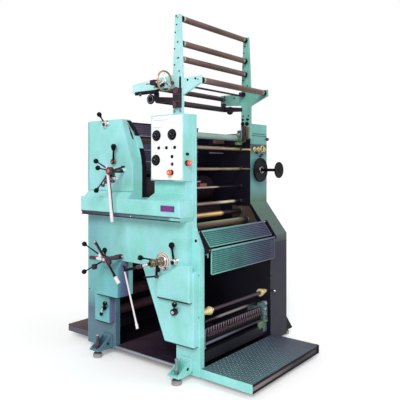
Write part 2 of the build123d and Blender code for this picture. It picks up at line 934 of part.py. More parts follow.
# Black fittings of the stand: clamp, bearing block, hangers, foot block and cross rod
hanger_outline = [
    (lead_roller_y - compensator_radius, lead_roller_z - lead_roller_radius - idler_collar_radius),
    (lead_roller_y - compensator_radius, compensator_z + compensator_radius),
    (hanger_foot_y, compensator_z - hanger_root_rise + hanger_root_height),
    (hanger_foot_y, compensator_z - hanger_root_rise),
    (lead_roller_y, compensator_z - compensator_radius),
    (lead_roller_y + compensator_radius, compensator_z),
    (lead_roller_y + compensator_radius, lead_roller_z - lead_roller_radius - idler_collar_radius),
]
with BuildPart() as web_post_fittings:
    for x_low in (near_post_x + post_plate, far_post_x - hanger_plate):
        with BuildSketch(Plane.YZ.offset(x_low)):
            with BuildLine():
                Polyline(*hanger_outline, close=True)
            make_face()
            with Locations((lead_roller_y, compensator_z)):
                Circle(idler_journal + running_clearance, mode=Mode.SUBTRACT)
        extrude(amount=hanger_plate)
    with BuildSketch(Plane.YZ.offset(near_post_x - clamp_block)):
        with Locations((clamp_block_rear_y, clamp_block_top)):
            Rectangle(clamp_block_width, clamp_block_height, align=(Align.MAX, Align.MAX))
    extrude(amount=clamp_block)
    with BuildSketch(Plane.YZ.offset(outward(web_wheel_out + bearing_block_height / 2))):
        with Locations((bearing_block_y, web_wheel_z)):
            Rectangle(bearing_block_length, bearing_block_height)
    extrude(amount=web_wheel_out + bearing_block_height / 2)
    with BuildSketch(Plane.XZ.offset(-(bearing_block_y + bearing_block_length))):
        with Locations((outward(web_wheel_out), web_wheel_z)):
            Circle(web_shaft_radius + running_clearance)
    extrude(amount=2 * bearing_block_length, mode=Mode.SUBTRACT)
    with BuildSketch(Plane.YZ.offset(far_post_x + post_plate)):
        with Locations((post_centre_y + post_base_half - hanger_plate, far_post_bottom + hanger_plate)):
            Rectangle(post_base_half, frame_top - far_post_bottom - 3 * hanger_plate, align=(Align.MAX, Align.MIN))
    extrude(amount=far_post_inset - post_plate)
    with BuildSketch(Plane.YZ.offset(near_post_x + post_plate)):
        with Locations((cross_rod_y, cross_rod_z)):
            Circle(cross_rod_radius)
    extrude(amount=far_post_x - near_post_x - post_plate)
save(web_post_fittings.part, "web_post_fittings")

# Idler rollers, each with a collar at either end
idler_start = near_post_x + post_plate + roller_end_gap + idler_collar_width
idler_end = far_post_x - roller_end_gap - idler_collar_width
for number, (y, z) in enumerate(idler_places, start=1):
    with BuildPart() as idler:
        with BuildSketch(Plane.YZ.offset(idler_start)):
            with Locations((y, z)):
                Circle(idler_radius)
        extrude(amount=idler_end - idler_start)
        with BuildSketch(Plane.YZ.offset(idler_start - idler_collar_width)):
            with Locations((y, z)):
                Circle(idler_collar_radius)
        extrude(amount=idler_end - idler_start + 2 * idler_collar_width)
        with BuildSketch(Plane.YZ.offset(near_post_x)):
            with Locations((y, z)):
                Circle(idler_journal)
        extrude(amount=far_post_x + post_plate - near_post_x)
    save(idler.part, f"web_idler_{number}")

lead_reach = roller_end_gap + post_plate
lead_start = near_post_x + post_plate + roller_end_gap
lead_end = far_post_x - roller_end_gap
web_lead_roller = roller(
    lead_roller_y, lead_roller_z, lead_roller_radius, lead_start, lead_end, idler_journal, lead_reach
)
save(web_lead_roller.part, "web_lead_roller")

# Compensator roller: hung under the arms, with a disc outside each post
with BuildPart() as compensator_roller:
    with BuildSketch(Plane.YZ.offset(lead_start + hanger_plate)):
        with Locations((lead_roller_y, compensator_z)):
            Circle(compensator_radius)
    extrude(amount=lead_end - lead_start - 2 * hanger_plate)
    near_disc_x = near_post_x - near_disc_gap - compensator_disc_width
    far_disc_x = far_post_x + post_plate + far_disc_gap
    with BuildSketch(Plane.YZ.offset(near_disc_x), Plane.YZ.offset(far_disc_x)):
        with Locations((lead_roller_y, compensator_z)):
            Circle(compensator_disc_radius)
    extrude(amount=compensator_disc_width)
    with BuildSketch(Plane.YZ.offset(near_disc_x)):
        with Locations((lead_roller_y, compensator_z)):
            Circle(idler_journal)
    extrude(amount=far_disc_x - near_disc_x)
save(compensator_roller.part, "compensator_roller")

# Chrome handwheel on its screw
web_wheel_plane = Plane(
    origin=(outward(web_wheel_out), web_wheel_y, web_wheel_z), x_dir=(1, 0, 0), z_dir=(0, -1, 0)
)
with BuildPart() as web_handwheel:
    with Locations(web_wheel_plane):
        Torus(web_wheel_radius, web_wheel_rim)
    with BuildSketch(web_wheel_plane.offset(-web_wheel_hub)):
        Circle(web_wheel_hub)
    extrude(amount=2 * web_wheel_hub)
    for angle in (90, 210, 330):
        spoke_direction = Vector(1, 0, 0).rotate(Axis.Y, angle)
        with BuildSketch(Plane(origin=web_wheel_plane.origin, z_dir=spoke_direction)):
            Circle(web_wheel_spoke)
        extrude(amount=web_wheel_radius)
    with BuildSketch(web_wheel_plane.offset(-web_shaft_reach)):
        Circle(web_shaft_radius)
    extrude(amount=web_shaft_reach)
save(web_handwheel.part, "web_handwheel")

# Drive side handwheel: a large and a small black wheel on one shaft
drive_wheel_plane = Plane(
    origin=(drive_wheel_x, drive_column_front_y, drive_wheel_z), x_dir=(1, 0, 0), z_dir=(0, -1, 0)
)
with BuildPart() as drive_handwheel:
    with BuildSketch(drive_wheel_plane.offset(-journal_depth)):
        Circle(drive_shaft_radius)
    extrude(amount=journal_depth + drive_column_front_y - drive_knob_y)
    for wheel_y, wheel_radius, wheel_rim in (
        (drive_wheel_y, drive_wheel_radius, drive_wheel_rim),
        (drive_knob_y, drive_knob_radius, drive_knob_rim),
    ):
        wheel_plane = drive_wheel_plane.offset(drive_column_front_y - wheel_y)
        with BuildSketch(wheel_plane.offset(-drive_wheel_web / 2)):
            Circle(wheel_radius)
        extrude(amount=drive_wheel_web)
        with Locations(wheel_plane):
            Torus(wheel_radius, wheel_rim)
save(drive_handwheel.part, "drive_handwheel")

# Front guards and the brackets that carry their pins
guard_start = plate_inner_x + guard_side_gap
upper_guard_end = drive_inner_x - upper_guard_far_gap
lower_guard_end = drive_inner_x - guard_side_gap


def guard(hinge, foot, x_start, x_end):
    """A guard sheet that hangs from a rolled edge with a pin at each end."""
    run = Vector(0, foot[0] - hinge[0], foot[1] - hinge[1])
    sheet_plane = Plane(origin=(x_start, *hinge), x_dir=run, z_dir=(1, 0, 0))
    with BuildPart() as piece:
        with BuildSketch(sheet_plane):
            Rectangle(run.length, guard_sheet, align=(Align.MIN, Align.CENTER))
            Circle(guard_roll)
        extrude(amount=x_end - x_start)
        with BuildSketch(Plane.YZ.offset(plate_inner_x)):
            with Locations(hinge):
                Circle(guard_pin)
        extrude(amount=clear_width)
    return piece


upper_hinge = (upper_hinge_y, upper_hinge_z)
lower_hinge = (lower_hinge_y, lower_hinge_z)
front_guard_upper = guard(upper_hinge, (upper_guard_foot_y, upper_guard_foot_z), guard_start, upper_guard_end)
save(front_guard_upper.part, "front_guard_upper")
front_guard_lower = guard(lower_hinge, (lower_hinge_y, lower_guard_foot), guard_start, lower_guard_end)
save(front_guard_lower.part, "front_guard_lower")

bracket_margin = 2 * guard_pin
with BuildPart() as guard_hinge_brackets:
    with BuildSketch(Plane.YZ.offset(plate_inner_x), Plane.YZ.offset(drive_inner_x - guard_bracket)):
        with BuildLine():
            Polyline(
                (lower_hinge_y - bracket_margin, lower_hinge_z - bracket_margin),
                (lower_hinge_y - bracket_margin, lower_hinge_z + bracket_margin / 2),
                (upper_hinge_y - bracket_margin, upper_hinge_z + bracket_margin),
                (upper_hinge_y + bracket_margin, upper_hinge_z + bracket_margin),
                (upper_hinge_y + bracket_margin, upper_hinge_z - 3 * bracket_margin),
                (front_y + bracket_margin, lower_hinge_z - 3 * bracket_margin),
                (front_y - bracket_margin, lower_hinge_z - 3 * bracket_margin),
                close=True,
            )
        make_face()
        with Locations(upper_hinge, lower_hinge):
            Circle(guard_pin + running_clearance, mode=Mode.SUBTRACT)
    extrude(amount=guard_bracket)
save(guard_hinge_brackets.part, "guard_hinge_brackets")

# Screens between the side frames
with BuildPart() as middle_screen:
    with BuildSketch(Plane.YZ.offset(plate_inner_x)):
        with Locations((middle_screen_y, middle_screen_bottom)):
            Rectangle(screen_sheet, middle_screen_top - middle_screen_bottom, align=(Align.MIN, Align.MIN))
    extrude(amount=clear_width)
save(middle_screen.part, "middle_screen")

with BuildPart() as rear_screen:
    with BuildSketch(Plane.YZ.offset(plate_inner_x)):
        with Locations((rear_y - rear_screen_inset, rear_screen_bottom)):
            Rectangle(screen_sheet, rear_screen_top - rear_screen_bottom, align=(Align.MIN, Align.MIN))
    extrude(amount=clear_width)
save(rear_screen.part, "rear_screen")

# Ink fountain: an open trough with a row of keys, held by a casting at each end
fountain_start = plate_inner_x + fountain_bracket_width
fountain_length = clear_width - 2 * fountain_bracket_width
with BuildPart() as ink_fountain:
    with BuildSketch(Plane.YZ.offset(fountain_start)):
        with BuildLine():
            Polyline(
                (fountain_front_y, fountain_floor_front - fountain_wall),
                (fountain_front_y, fountain_lip),
                (fountain_front_y + fountain_wall, fountain_lip),
                (fountain_front_y + fountain_wall, fountain_floor_front + fountain_gap),
                (fountain_rear_y, fountain_floor_rear),
                (fountain_rear_y, fountain_floor_rear - fountain_wall),
                close=True,
            )
        make_face()
    extrude(amount=fountain_length)
    key_pitch = fountain_length / (key_count + 1)
    key_centre_x = fountain_start + fountain_length / 2
    with BuildSketch(Plane.XZ.offset(-fountain_front_y)):
        with Locations((key_centre_x, key_z)):
            with GridLocations(key_pitch, 0, key_count, 1):
                Circle(key_radius)
    extrude(amount=key_length)
    with BuildSketch(Plane.XZ.offset(-fountain_front_y + key_length)):
        with Locations((key_centre_x, key_z)):
            with GridLocations(key_pitch, 0, key_count, 1):
                Circle(key_head_radius)
    extrude(amount=key_head_length)
save(ink_fountain.part, "ink_fountain")

bracket_toe = fountain_floor_front - 4 * fountain_wall
with BuildPart() as fountain_end_brackets:
    with BuildSketch(Plane.YZ.offset(plate_inner_x), Plane.YZ.offset(drive_inner_x - fountain_bracket_width)):
        with BuildLine():
            Polyline(
                (fountain_front_y - key_length, bracket_toe + fountain_wall),
                (fountain_front_y - key_length, fountain_lip),
                (fountain_front_y, fountain_lip + key_length),
                (fountain_bar_y - 2 * fountain_bar_radius, fountain_lip + key_length),
                (fountain_bar_y - 2 * fountain_bar_radius, fountain_lip),
                (fountain_rear_y + fountain_wall, fountain_lip),
                (fountain_rear_y + fountain_wall, bracket_toe + 2 * fountain_wall),
                (fountain_front_y + 3 * fountain_wall, bracket_toe),
                close=True,
            )
        make_face()
        with Locations((toe_bar_y, toe_bar_z)):
            Circle(toe_bar_radius, mode=Mode.SUBTRACT)
    extrude(amount=fountain_bracket_width)
save(fountain_end_brackets.part, "fountain_end_brackets")

# Printing cylinders
cylinder_places = {
    "plate_cylinder": (plate_cylinder_y, plate_cylinder_z),
    "blanket_cylinder": (blanket_cylinder_y, blanket_cylinder_z),
    "impression_cylinder": (impression_cylinder_y, impression_cylinder_z),
}
for name, (y, z) in cylinder_places.items():
    save(frame_roller(y, z, cylinder_radius, cylinder_journal).part, name)

# Guide and delivery rollers
roller_places = {
    "upper_guide_roller": (upper_guide_y, upper_guide_z, upper_guide_radius),
    "middle_guide_roller": (middle_guide_y, middle_guide_z, middle_guide_radius),
    "lower_guide_roller": (lower_guide_y, lower_guide_z, lower_guide_radius),
    "delivery_roller_upper": (delivery_upper_y, delivery_upper_z, delivery_upper_radius),
    "delivery_roller_lower": (delivery_lower_y, delivery_lower_z, delivery_lower_radius),
}
for name, (y, z, radius) in roller_places.items():
    save(frame_roller(y, z, radius, roller_journal).part, name)

# Cone roller: a shaft with a brass cone near each end
with BuildPart() as cone_roller:
    with BuildSketch(Plane.YZ.offset(plate_inner_x + roller_end_gap)):
        with Locations((cone_roller_y, cone_roller_z)):
            Circle(cone_roller_radius)
    extrude(amount=clear_width - 2 * roller_end_gap)
    with BuildSketch(Plane.YZ.offset(plate_inner_x - journal_depth)):
        with Locations((cone_roller_y, cone_roller_z)):
            Circle(roller_journal)
    extrude(amount=clear_width + 2 * journal_depth)
    for cone_x, facing in ((plate_inner_x + cone_offset, 1), (drive_inner_x - cone_offset, -1)):
        cone_plane = Plane(origin=(cone_x, cone_roller_y, cone_roller_z), x_dir=(0, 1, 0), z_dir=(facing, 0, 0))
        with Locations(cone_plane):
            Cone(cone_roller_radius, cone_radius, cone_length, align=(Align.CENTER, Align.CENTER, Align.MIN))
save(cone_roller.part, "cone_roller")

# Chrome and brass flange that the ratchet lever's barrel comes out of
with BuildPart() as hub_flange:
    with BuildSketch(Plane.YZ.offset(outward(panel_depth + flange_disc_depth))):
        with Locations(ratchet_pivot):
            Circle(flange_disc_radius)
    extrude(amount=flange_disc_depth)
    with BuildSketch(Plane.YZ.offset(outward(panel_depth + flange_disc_depth + flange_ring_depth))):
        with Locations(ratchet_pivot):
            Circle(flange_ring_radius)
    extrude(amount=flange_ring_depth)
    with BuildSketch(Plane.YZ.offset(outward(panel_depth + flange_disc_depth + flange_ring_depth))):
        with Locations(ratchet_pivot):
            Circle(barrel_pin + running_clearance)
    extrude(amount=flange_disc_depth + flange_ring_depth, mode=Mode.SUBTRACT)
save(hub_flange.part, "hub_flange")

# Levers
tower_top_lever = lever(tower_top_pivot, tower_depth, tower_top_hub, small_pin, tower_top_rods)
save(tower_top_lever.part, "tower_top_lever")
tower_middle_lever = lever(tower_middle_pivot, tower_depth, tower_middle_hub, small_pin, tower_middle_rods)
save(tower_middle_lever.part, "tower_middle_lever")
tower_bar_lever = lever(tower_bar_pivot, tower_depth, tower_bar_hub, spindle_pin, tower_bar_rods)
save(tower_bar_lever.part, "tower_bar_lever")
lower_bar_lever = lever(lower_bar_pivot, panel_depth, lower_bar_hub, spindle_pin, lower_bar_rods)
save(lower_bar_lever.part, "lower_bar_lever")
ratchet_lever = lever(ratchet_pivot, panel_depth, ratchet_hub, barrel_pin, ratchet_rods)
save(ratchet_lever.part, "ratchet_lever")
side_lever = lever(side_lever_pivot, panel_depth, side_lever_hub, small_pin, side_lever_rods)
save(side_lever.part, "side_lever")
low_lever = lever(low_lever_pivot, panel_depth, low_lever_hub, small_pin, low_lever_rods)
save(low_lever.part, "low_lever")
rear_leg_lever = lever(rear_leg_pivot, panel_depth, rear_leg_hub, small_pin, rear_leg_rods)
save(rear_leg_lever.part, "rear_leg_lever")
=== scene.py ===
import json
import math

import bmesh
import bpy
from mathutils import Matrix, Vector


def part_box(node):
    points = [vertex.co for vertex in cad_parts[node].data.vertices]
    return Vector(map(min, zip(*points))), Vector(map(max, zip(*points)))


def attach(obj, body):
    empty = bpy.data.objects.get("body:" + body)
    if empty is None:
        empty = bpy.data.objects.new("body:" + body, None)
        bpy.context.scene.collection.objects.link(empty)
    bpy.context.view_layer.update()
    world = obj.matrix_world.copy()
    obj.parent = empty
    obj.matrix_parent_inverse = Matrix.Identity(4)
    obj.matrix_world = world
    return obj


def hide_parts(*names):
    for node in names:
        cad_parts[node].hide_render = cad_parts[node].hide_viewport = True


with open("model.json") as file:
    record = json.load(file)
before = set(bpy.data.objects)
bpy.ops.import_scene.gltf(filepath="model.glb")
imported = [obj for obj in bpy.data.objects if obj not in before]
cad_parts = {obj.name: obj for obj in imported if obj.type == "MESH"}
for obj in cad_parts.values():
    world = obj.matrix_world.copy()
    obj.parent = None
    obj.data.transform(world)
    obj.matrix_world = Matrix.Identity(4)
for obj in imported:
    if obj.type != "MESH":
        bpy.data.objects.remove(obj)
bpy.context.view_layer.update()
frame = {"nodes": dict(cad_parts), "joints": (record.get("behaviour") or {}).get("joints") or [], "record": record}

# Camera, at the photograph's viewing angle, in metres like everything here
EYE = Vector((-3.447, -2.875, 1.55))
LOOK = Vector((0.781, 0.6246, 0.0))
camera_data = bpy.data.cameras.new("camera")
camera_data.sensor_width = 36.0
camera_data.lens = 46.71
camera_data.shift_y = -0.085
camera = bpy.data.objects.new("camera", camera_data)
camera.location = EYE
camera.rotation_euler = LOOK.to_track_quat("-Z", "Y").to_euler()
bpy.context.scene.collection.objects.link(camera)
bpy.context.scene.camera = camera
bpy.context.scene.view_settings.view_transform = "Standard"

# Places that many pieces share, read from the frame
PRESS = "press"
X = Vector((1, 0, 0))
Y = Vector((0, 1, 0))
Z = Vector((0, 0, 1))


def low(node):
    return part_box(node)[0]


def high(node):
    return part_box(node)[1]


pivots = {joint["child"]: Vector(joint["pos_m"]) for joint in frame["joints"]}
FRAME_X = low("operator_side_frame").x
INNER_LEFT = high("operator_side_frame").x
INNER_RIGHT = low("drive_side_housing").x
OUTER_RIGHT = high("drive_side_housing").x
FRONT = low("operator_side_frame").y
BACK = high("operator_side_frame").y
TOP = high("operator_side_frame").z


# Materials
def srgb(colour):
    """A colour given as 0 to 255 screen values, as Blender's linear one."""
    def linear(value):
        value /= 255.0
        return value / 12.92 if value <= 0.04045 else ((value + 0.055) / 1.055) ** 2.4
    return (*[linear(value) for value in colour], 1.0)


def add(tree, kind, inputs=None, **settings):
    """One shader node. An input may be a value or another node's output."""
    made = tree.nodes.new(kind)
    for key, value in settings.items():
        setattr(made, key, value)
    for key, value in (inputs or {}).items():
        if isinstance(value, bpy.types.NodeSocket):
            tree.links.new(value, made.inputs[key])
        else:
            made.inputs[key].default_value = value
    return made


def mixed(tree, factor, first, second, blend="MIX"):
    """Two colours mixed; returns the colour output."""
    made = add(tree, "ShaderNodeMix", {0: factor, 6: first, 7: second}, data_type="RGBA", blend_type=blend)
    return made.outputs[2]


def mapped(tree, value, from_low, from_high, to_low=0.0, to_high=1.0):
    """A value carried from one range to another and kept inside it."""
    spans = {"Value": value, "From Min": from_low, "From Max": from_high, "To Min": to_low, "To Max": to_high}
    return add(tree, "ShaderNodeMapRange", spans, clamp=True).outputs["Result"]


def banded(tree, along, stops):
    """A colour that changes through (place, colour) stops along a value."""
    first, last = stops[0][0], stops[-1][0]
    bands = add(tree, "ShaderNodeValToRGB", {0: mapped(tree, along, first, last)})
    bands.color_ramp.elements[0].color = srgb(stops[0][1])
    bands.color_ramp.elements[1].color = srgb(stops[-1][1])
    for at, shade in stops[1:-1]:
        bands.color_ramp.elements.new((at - first) / (last - first)).color = srgb(shade)
    return bands.outputs[0]


def math_node(tree, operation, first, second):
    return add(tree, "ShaderNodeMath", {0: first, 1: second}, operation=operation).outputs[0]


AXES = "XYZ"
EDGE_WIDTH = 0.004


def finish(name, base, rough=0.35, metal=0.0, coat=0.0, vary=0.1, speckle=0.05, bump=0.12, stretch=(1, 1, 1),
           grain=90.0, edge=None, ramp=None, facing=None, inner=None, tint=None, gloss=0.4, fade=None):
    """One finish: base colour with cloudy and fine variation, uneven roughness, fine bump and lighter edges.

    ramp is (axis, [(place, colour), ...]), a colour that changes along an axis. facing is (axis, sign) and keeps
    the ramp to faces that look that way. inner is (axis, sign, colour) for faces that look inwards. tint is a
    second colour in cloudy patches. fade is (axis, from, to, colour), a change to another colour or to a list
    of (height, colour) stops."""
    material = bpy.data.materials.new(name)
    material.use_nodes = True
    tree = material.node_tree
    shader = tree.nodes["Principled BSDF"]
    place = add(tree, "ShaderNodeTexCoord").outputs["Object"]
    stretched = add(tree, "ShaderNodeMapping", {"Vector": place, "Scale": stretch}).outputs[0]
    cloud = add(tree, "ShaderNodeTexNoise", {"Vector": place, "Scale": 4.0, "Detail": 4.0}).outputs[0]
    fine = add(tree, "ShaderNodeTexNoise", {"Vector": stretched, "Scale": grain, "Detail": 5.0}).outputs[0]
    normal = add(tree, "ShaderNodeNewGeometry").outputs["Normal"]
    directions = add(tree, "ShaderNodeSeparateXYZ", {0: normal})
    places = add(tree, "ShaderNodeSeparateXYZ", {0: place})
    colour = srgb(base)
    if tint:
        patches = add(tree, "ShaderNodeTexNoise", {"Vector": place, "Scale": 7.0, "Detail": 3.0}).outputs[0]
        colour = mixed(tree, mapped(tree, patches, 0.36, 0.64), colour, srgb(tint))
    if ramp:
        plain = colour
        axis, stops = ramp
        colour = banded(tree, places.outputs[AXES.index(axis)], stops)
        if facing:
            towards = directions.outputs[AXES.index(facing[0])]
            colour = mixed(tree, mapped(tree, towards, 0.25 * facing[1], 0.5 * facing[1]), plain, colour)
    if inner:
        towards = directions.outputs[AXES.index(inner[0])]
        colour = mixed(tree, mapped(tree, towards, 0.5 * inner[1], 0.8 * inner[1]), colour, srgb(inner[2]))
    if fade:
        axis, begin, end, beyond = fade
        beyond = banded(tree, places.outputs["Z"], beyond) if isinstance(beyond, list) else srgb(beyond)
        colour = mixed(tree, mapped(tree, places.outputs[AXES.index(axis)], begin, end), colour, beyond)
    shade = mapped(tree, cloud, 0.3, 0.7, 1.0 - vary, 1.0 + vary * 0.6)
    shade = math_node(tree, "MULTIPLY", shade, mapped(tree, fine, 0.3, 0.7, 1.0 - speckle, 1.0 + speckle))
    shade_colour = add(tree, "ShaderNodeCombineColor", {0: shade, 1: shade, 2: shade}).outputs[0]
    colour = mixed(tree, 1.0, colour, shade_colour, "MULTIPLY")
    # Lighter edges: partly wear, partly a painted highlight along the edges.
    if edge:
        rounded = add(tree, "ShaderNodeBevel", {"Radius": EDGE_WIDTH}, samples=4).outputs[0]
        flat = add(tree, "ShaderNodeVectorMath", {0: rounded, 1: normal}, operation="DOT_PRODUCT").outputs["Value"]
        worn_and_highlit = mapped(tree, flat, 0.995, 0.9, 0.0, 0.75)
        worn_and_highlit = math_node(tree, "MULTIPLY", worn_and_highlit, mapped(tree, fine, 0.35, 0.6))
        colour = mixed(tree, worn_and_highlit, colour, srgb(edge))
    tree.links.new(colour, shader.inputs["Base Color"])
    tree.links.new(mapped(tree, cloud, 0.3, 0.7, rough * 0.8, min(1.0, rough * 1.3)), shader.inputs["Roughness"])
    shader.inputs["Metallic"].default_value = metal
    shader.inputs["Coat Weight"].default_value = coat
    shader.inputs["Specular IOR Level"].default_value = gloss
    relief = add(tree, "ShaderNodeBump", {"Height": fine, "Strength": bump, "Distance": 0.001})
    tree.links.new(relief.outputs[0], shader.inputs["Normal"])
    return material


# Near black painted shade, for faces that look into the press and for the low parts of the ties and housing.
PAINTED_SHADE_DARK = (16, 12, 26)
TEAL_BASE = (138, 213, 204)
TEAL_CYAN = (154, 219, 222)
TEAL_EDGE = (200, 240, 236)
SHADED = (108, 170, 174)
SHADED_LEG = [(0.2, (84, 116, 132)), (0.34, (80, 106, 126)), (0.42, (96, 148, 156)), (0.52, SHADED),
              (1.9, SHADED)]
ENAMEL = dict(rough=0.38, coat=0.1, edge=TEAL_EDGE, tint=TEAL_CYAN)
TEAL = finish("teal_enamel", TEAL_BASE, **ENAMEL)
# Frame and operator panel: a painted shade on the rear leg, darker towards the floor; on the frame, a near black
# painted shade on the faces that look into the press.
TEAL_FRAME = finish("teal_frame", TEAL_BASE, inner=("X", 1, PAINTED_SHADE_DARK), fade=("Y", 0.12, 0.24, SHADED_LEG), **ENAMEL)
TEAL_PANEL = finish("teal_panel", TEAL_BASE, fade=("Y", 0.1, 0.5, SHADED_LEG), **ENAMEL)
# Rear leg covers: on faces that look to the front, a blue to mauve painted shade that darkens along X.
TEAL_REAR = finish(
    "teal_rear_covers", (102, 176, 178), 0.4, vary=0.14, edge=(150, 210, 214), tint=(112, 184, 190),
    ramp=("X", [(-0.685, (100, 172, 190)), (-0.64, (100, 128, 160)), (-0.565, (106, 96, 138))]),
    facing=("Y", -1),
)
TEAL_DEEP = finish("teal_shaded", (106, 170, 152), 0.4, edge=(150, 206, 190), tint=(122, 184, 172))
TEAL_PALE = finish("teal_pale", (172, 226, 226), 0.4, edge=(216, 244, 244), tint=(188, 234, 236))
# Ties: a near black painted shade low down, lightening towards the top.
TIES = finish(
    "tie_paint_and_painted_shade", (120, 150, 146), 0.45, vary=0.2,
    ramp=("Z", [(0.1, PAINTED_SHADE_DARK), (0.7, PAINTED_SHADE_DARK), (1.6, (104, 136, 130)), (1.83, (150, 176, 168))]),
)
# Drive side housing: on faces that look to the front, a painted shade in bands that darken towards the floor; on faces
# that look into the press, a near black painted shade.
HOUSING = finish(
    "teal_housing", TEAL_BASE, 0.4, edge=(120, 165, 158), inner=("X", -1, PAINTED_SHADE_DARK), gloss=0.25, vary=0.16,
    tint=TEAL_CYAN,
    ramp=("Z", [
        (0.1, (28, 25, 42)), (0.86, (29, 28, 46)), (0.96, (72, 92, 88)), (1.16, (72, 98, 86)),
        (1.24, (80, 112, 98)), (1.36, (98, 150, 150)), (1.62, (100, 154, 156)), (1.7, (72, 88, 96)),
        (1.735, (66, 74, 86)), (1.75, (104, 164, 158)), (1.9, (120, 184, 178)),
    ]), facing=("Y", -1),
)
WHITE = finish("white_enamel", (243, 247, 246), 0.4, vary=0.02, speckle=0.01, bump=0.05)
GREY_MARK = finish("grey_mark", (176, 178, 186), 0.6, bump=0.05)
BLACK = finish("black_plastic", (14, 12, 17), 0.4, edge=(54, 50, 58), bump=0.08, gloss=0.08)
DARK = finish("dark_iron", (40, 30, 40), 0.5, edge=(100, 85, 92), bump=0.4, grain=160.0, gloss=0.25)
PITCH = finish("black_paint", (17, 13, 21), 0.55, edge=(50, 45, 52), bump=0.25, gloss=0.15)
RED = finish("red_plastic", (228, 92, 58), 0.35, vary=0.05, edge=(250, 150, 120))
PALE_RED = finish("pale_red", (252, 190, 165), 0.4, vary=0.03)
DARK_RED = finish("dark_red", (104, 34, 48), 0.4, vary=0.1, edge=(160, 90, 100))
MAGENTA = finish("magenta_button", (110, 30, 80), 0.3)
PURPLE = finish(
    "purple_plate", (110, 45, 130), 0.4, vary=0.1, edge=(70, 70, 120),
    ramp=("Y", [(-0.468, (70, 60, 110)), (-0.44, (112, 52, 128)), (-0.38, (128, 40, 128)),
                (-0.338, (84, 48, 120))]),
)
BROWN = finish(
    "brown_tube", (104, 80, 76), 0.34, metal=0.5, vary=0.3, speckle=0.2, bump=0.2, stretch=(0.15, 1, 1),
    ramp=("X", [(-0.52, (122, 96, 94)), (-0.2, (92, 70, 66)), (0.1, (102, 82, 72)),
                (0.36, (116, 90, 92))]), gloss=0.3,
)
DARK_TUBE = finish(
    "dark_tube", (58, 42, 52), 0.36, metal=0.2, vary=0.25, speckle=0.15, bump=0.2, stretch=(0.15, 1, 1),
    edge=(120, 96, 108),
)
STEEL = finish("ground_steel", (172, 166, 158), 0.3, metal=0.9, vary=0.14, bump=0.1, stretch=(0.1, 1, 1))
# Bar steel: along X a painted highlight, brightest near the drive side, then a painted shade at the housing wall.
BAR_STEEL = finish(
    "bar_steel", (165, 150, 130), 0.36, metal=0.75, vary=0.2, speckle=0.12, bump=0.15, stretch=(0.1, 1, 1),
    ramp=("X", [(-0.5, (138, 116, 110)), (0.1, (160, 142, 122)), (0.34, (205, 188, 148)),
                (0.41, (120, 95, 80))]),
)
RED_BROWN = finish("red_brown", (130, 66, 62), 0.5, vary=0.2)
OLIVE_PLATE = finish(
    "olive_plate", (84, 76, 60), 0.5, vary=0.4, speckle=0.25, fade=("Y", -0.2, -0.32, (66, 56, 48)),
)
BROWN_PLATE = finish("brown_plate", (112, 86, 78), 0.5, vary=0.3, speckle=0.2)
CHROME = finish("chrome", (226, 222, 218), 0.12, metal=1.0, vary=0.04, speckle=0.02, bump=0.03)
GOLD = finish("gold_chrome", (176, 150, 118), 0.2, metal=0.95, vary=0.12, speckle=0.03, bump=0.04)
COPPER = finish("copper", (196, 132, 104), 0.3, metal=0.85, vary=0.1, bump=0.08)
BRASS = finish("brass", (214, 192, 128), 0.35, metal=0.7, vary=0.15, bump=0.1)
PALE_BRASS = finish("pale_brass", (222, 206, 150), 0.45, metal=0.35, vary=0.15, speckle=0.1)
BARREL = finish("barrel_brown", (108, 92, 74), 0.3, metal=0.7, vary=0.3, speckle=0.2, edge=(190, 170, 130))
CLAMP = finish("clamp_purple", (72, 46, 62), 0.38, metal=0.4, vary=0.25, speckle=0.15, edge=(190, 150, 170))
# White paint standing in for the bright reflection on steel: a painted sheen on the lever bars, their grip sleeves and
# a few small parts.
WHITE_SHEEN = finish("white_painted_sheen", (224, 214, 222), 0.35, vary=0.12, bump=0.05, stretch=(1, 1, 0.2))
TRIM = finish(
    "trim", (85, 95, 120), 0.4, vary=0.12, bump=0.12, edge=(110, 130, 140),
    ramp=("Y", [(-0.52, TEAL_BASE), (-0.43, TEAL_BASE), (-0.4, (94, 136, 142)), (-0.15, (88, 118, 132)),
                (0.15, (74, 74, 102)), (0.56, (38, 30, 52))]),
)
# Guard sheets and rims: a painted shade that turns from teal to dark purple along X.
GUARD = finish(
    "guard_mesh", (90, 140, 140), 0.45, metal=0.2, vary=0.22, speckle=0.16, bump=0.1, gloss=0.25,
    ramp=("X", [(-0.5, (86, 158, 150)), (-0.2, (76, 128, 130)), (0.1, (74, 92, 112)),
                (0.39, (66, 62, 92))]),
)
GUARD_RIM = finish(
    "guard_rim", (140, 190, 180), 0.42, vary=0.1, gloss=0.25,
    ramp=("X", [(-0.5, (120, 190, 180)), (-0.1, (104, 146, 148)), (0.39, (88, 86, 112))]),
)
SCREEN = finish(
    "screen_mesh", (92, 84, 112), 0.45, metal=0.3, vary=0.15, speckle=0.1, bump=0.1,
    ramp=("Z", [(1.48, (24, 18, 34)), (1.56, (30, 24, 42)), (1.6, (86, 76, 108)),
                (1.75, (98, 96, 128)), (1.91, (96, 84, 106))]),
)
SCREEN_LINE = finish("screen_line", (168, 150, 176), 0.45, metal=0.2)
BACKING = finish("rear_backing", (20, 15, 30), 0.7, vary=0.35, speckle=0.2, bump=0.2, gloss=0.1)
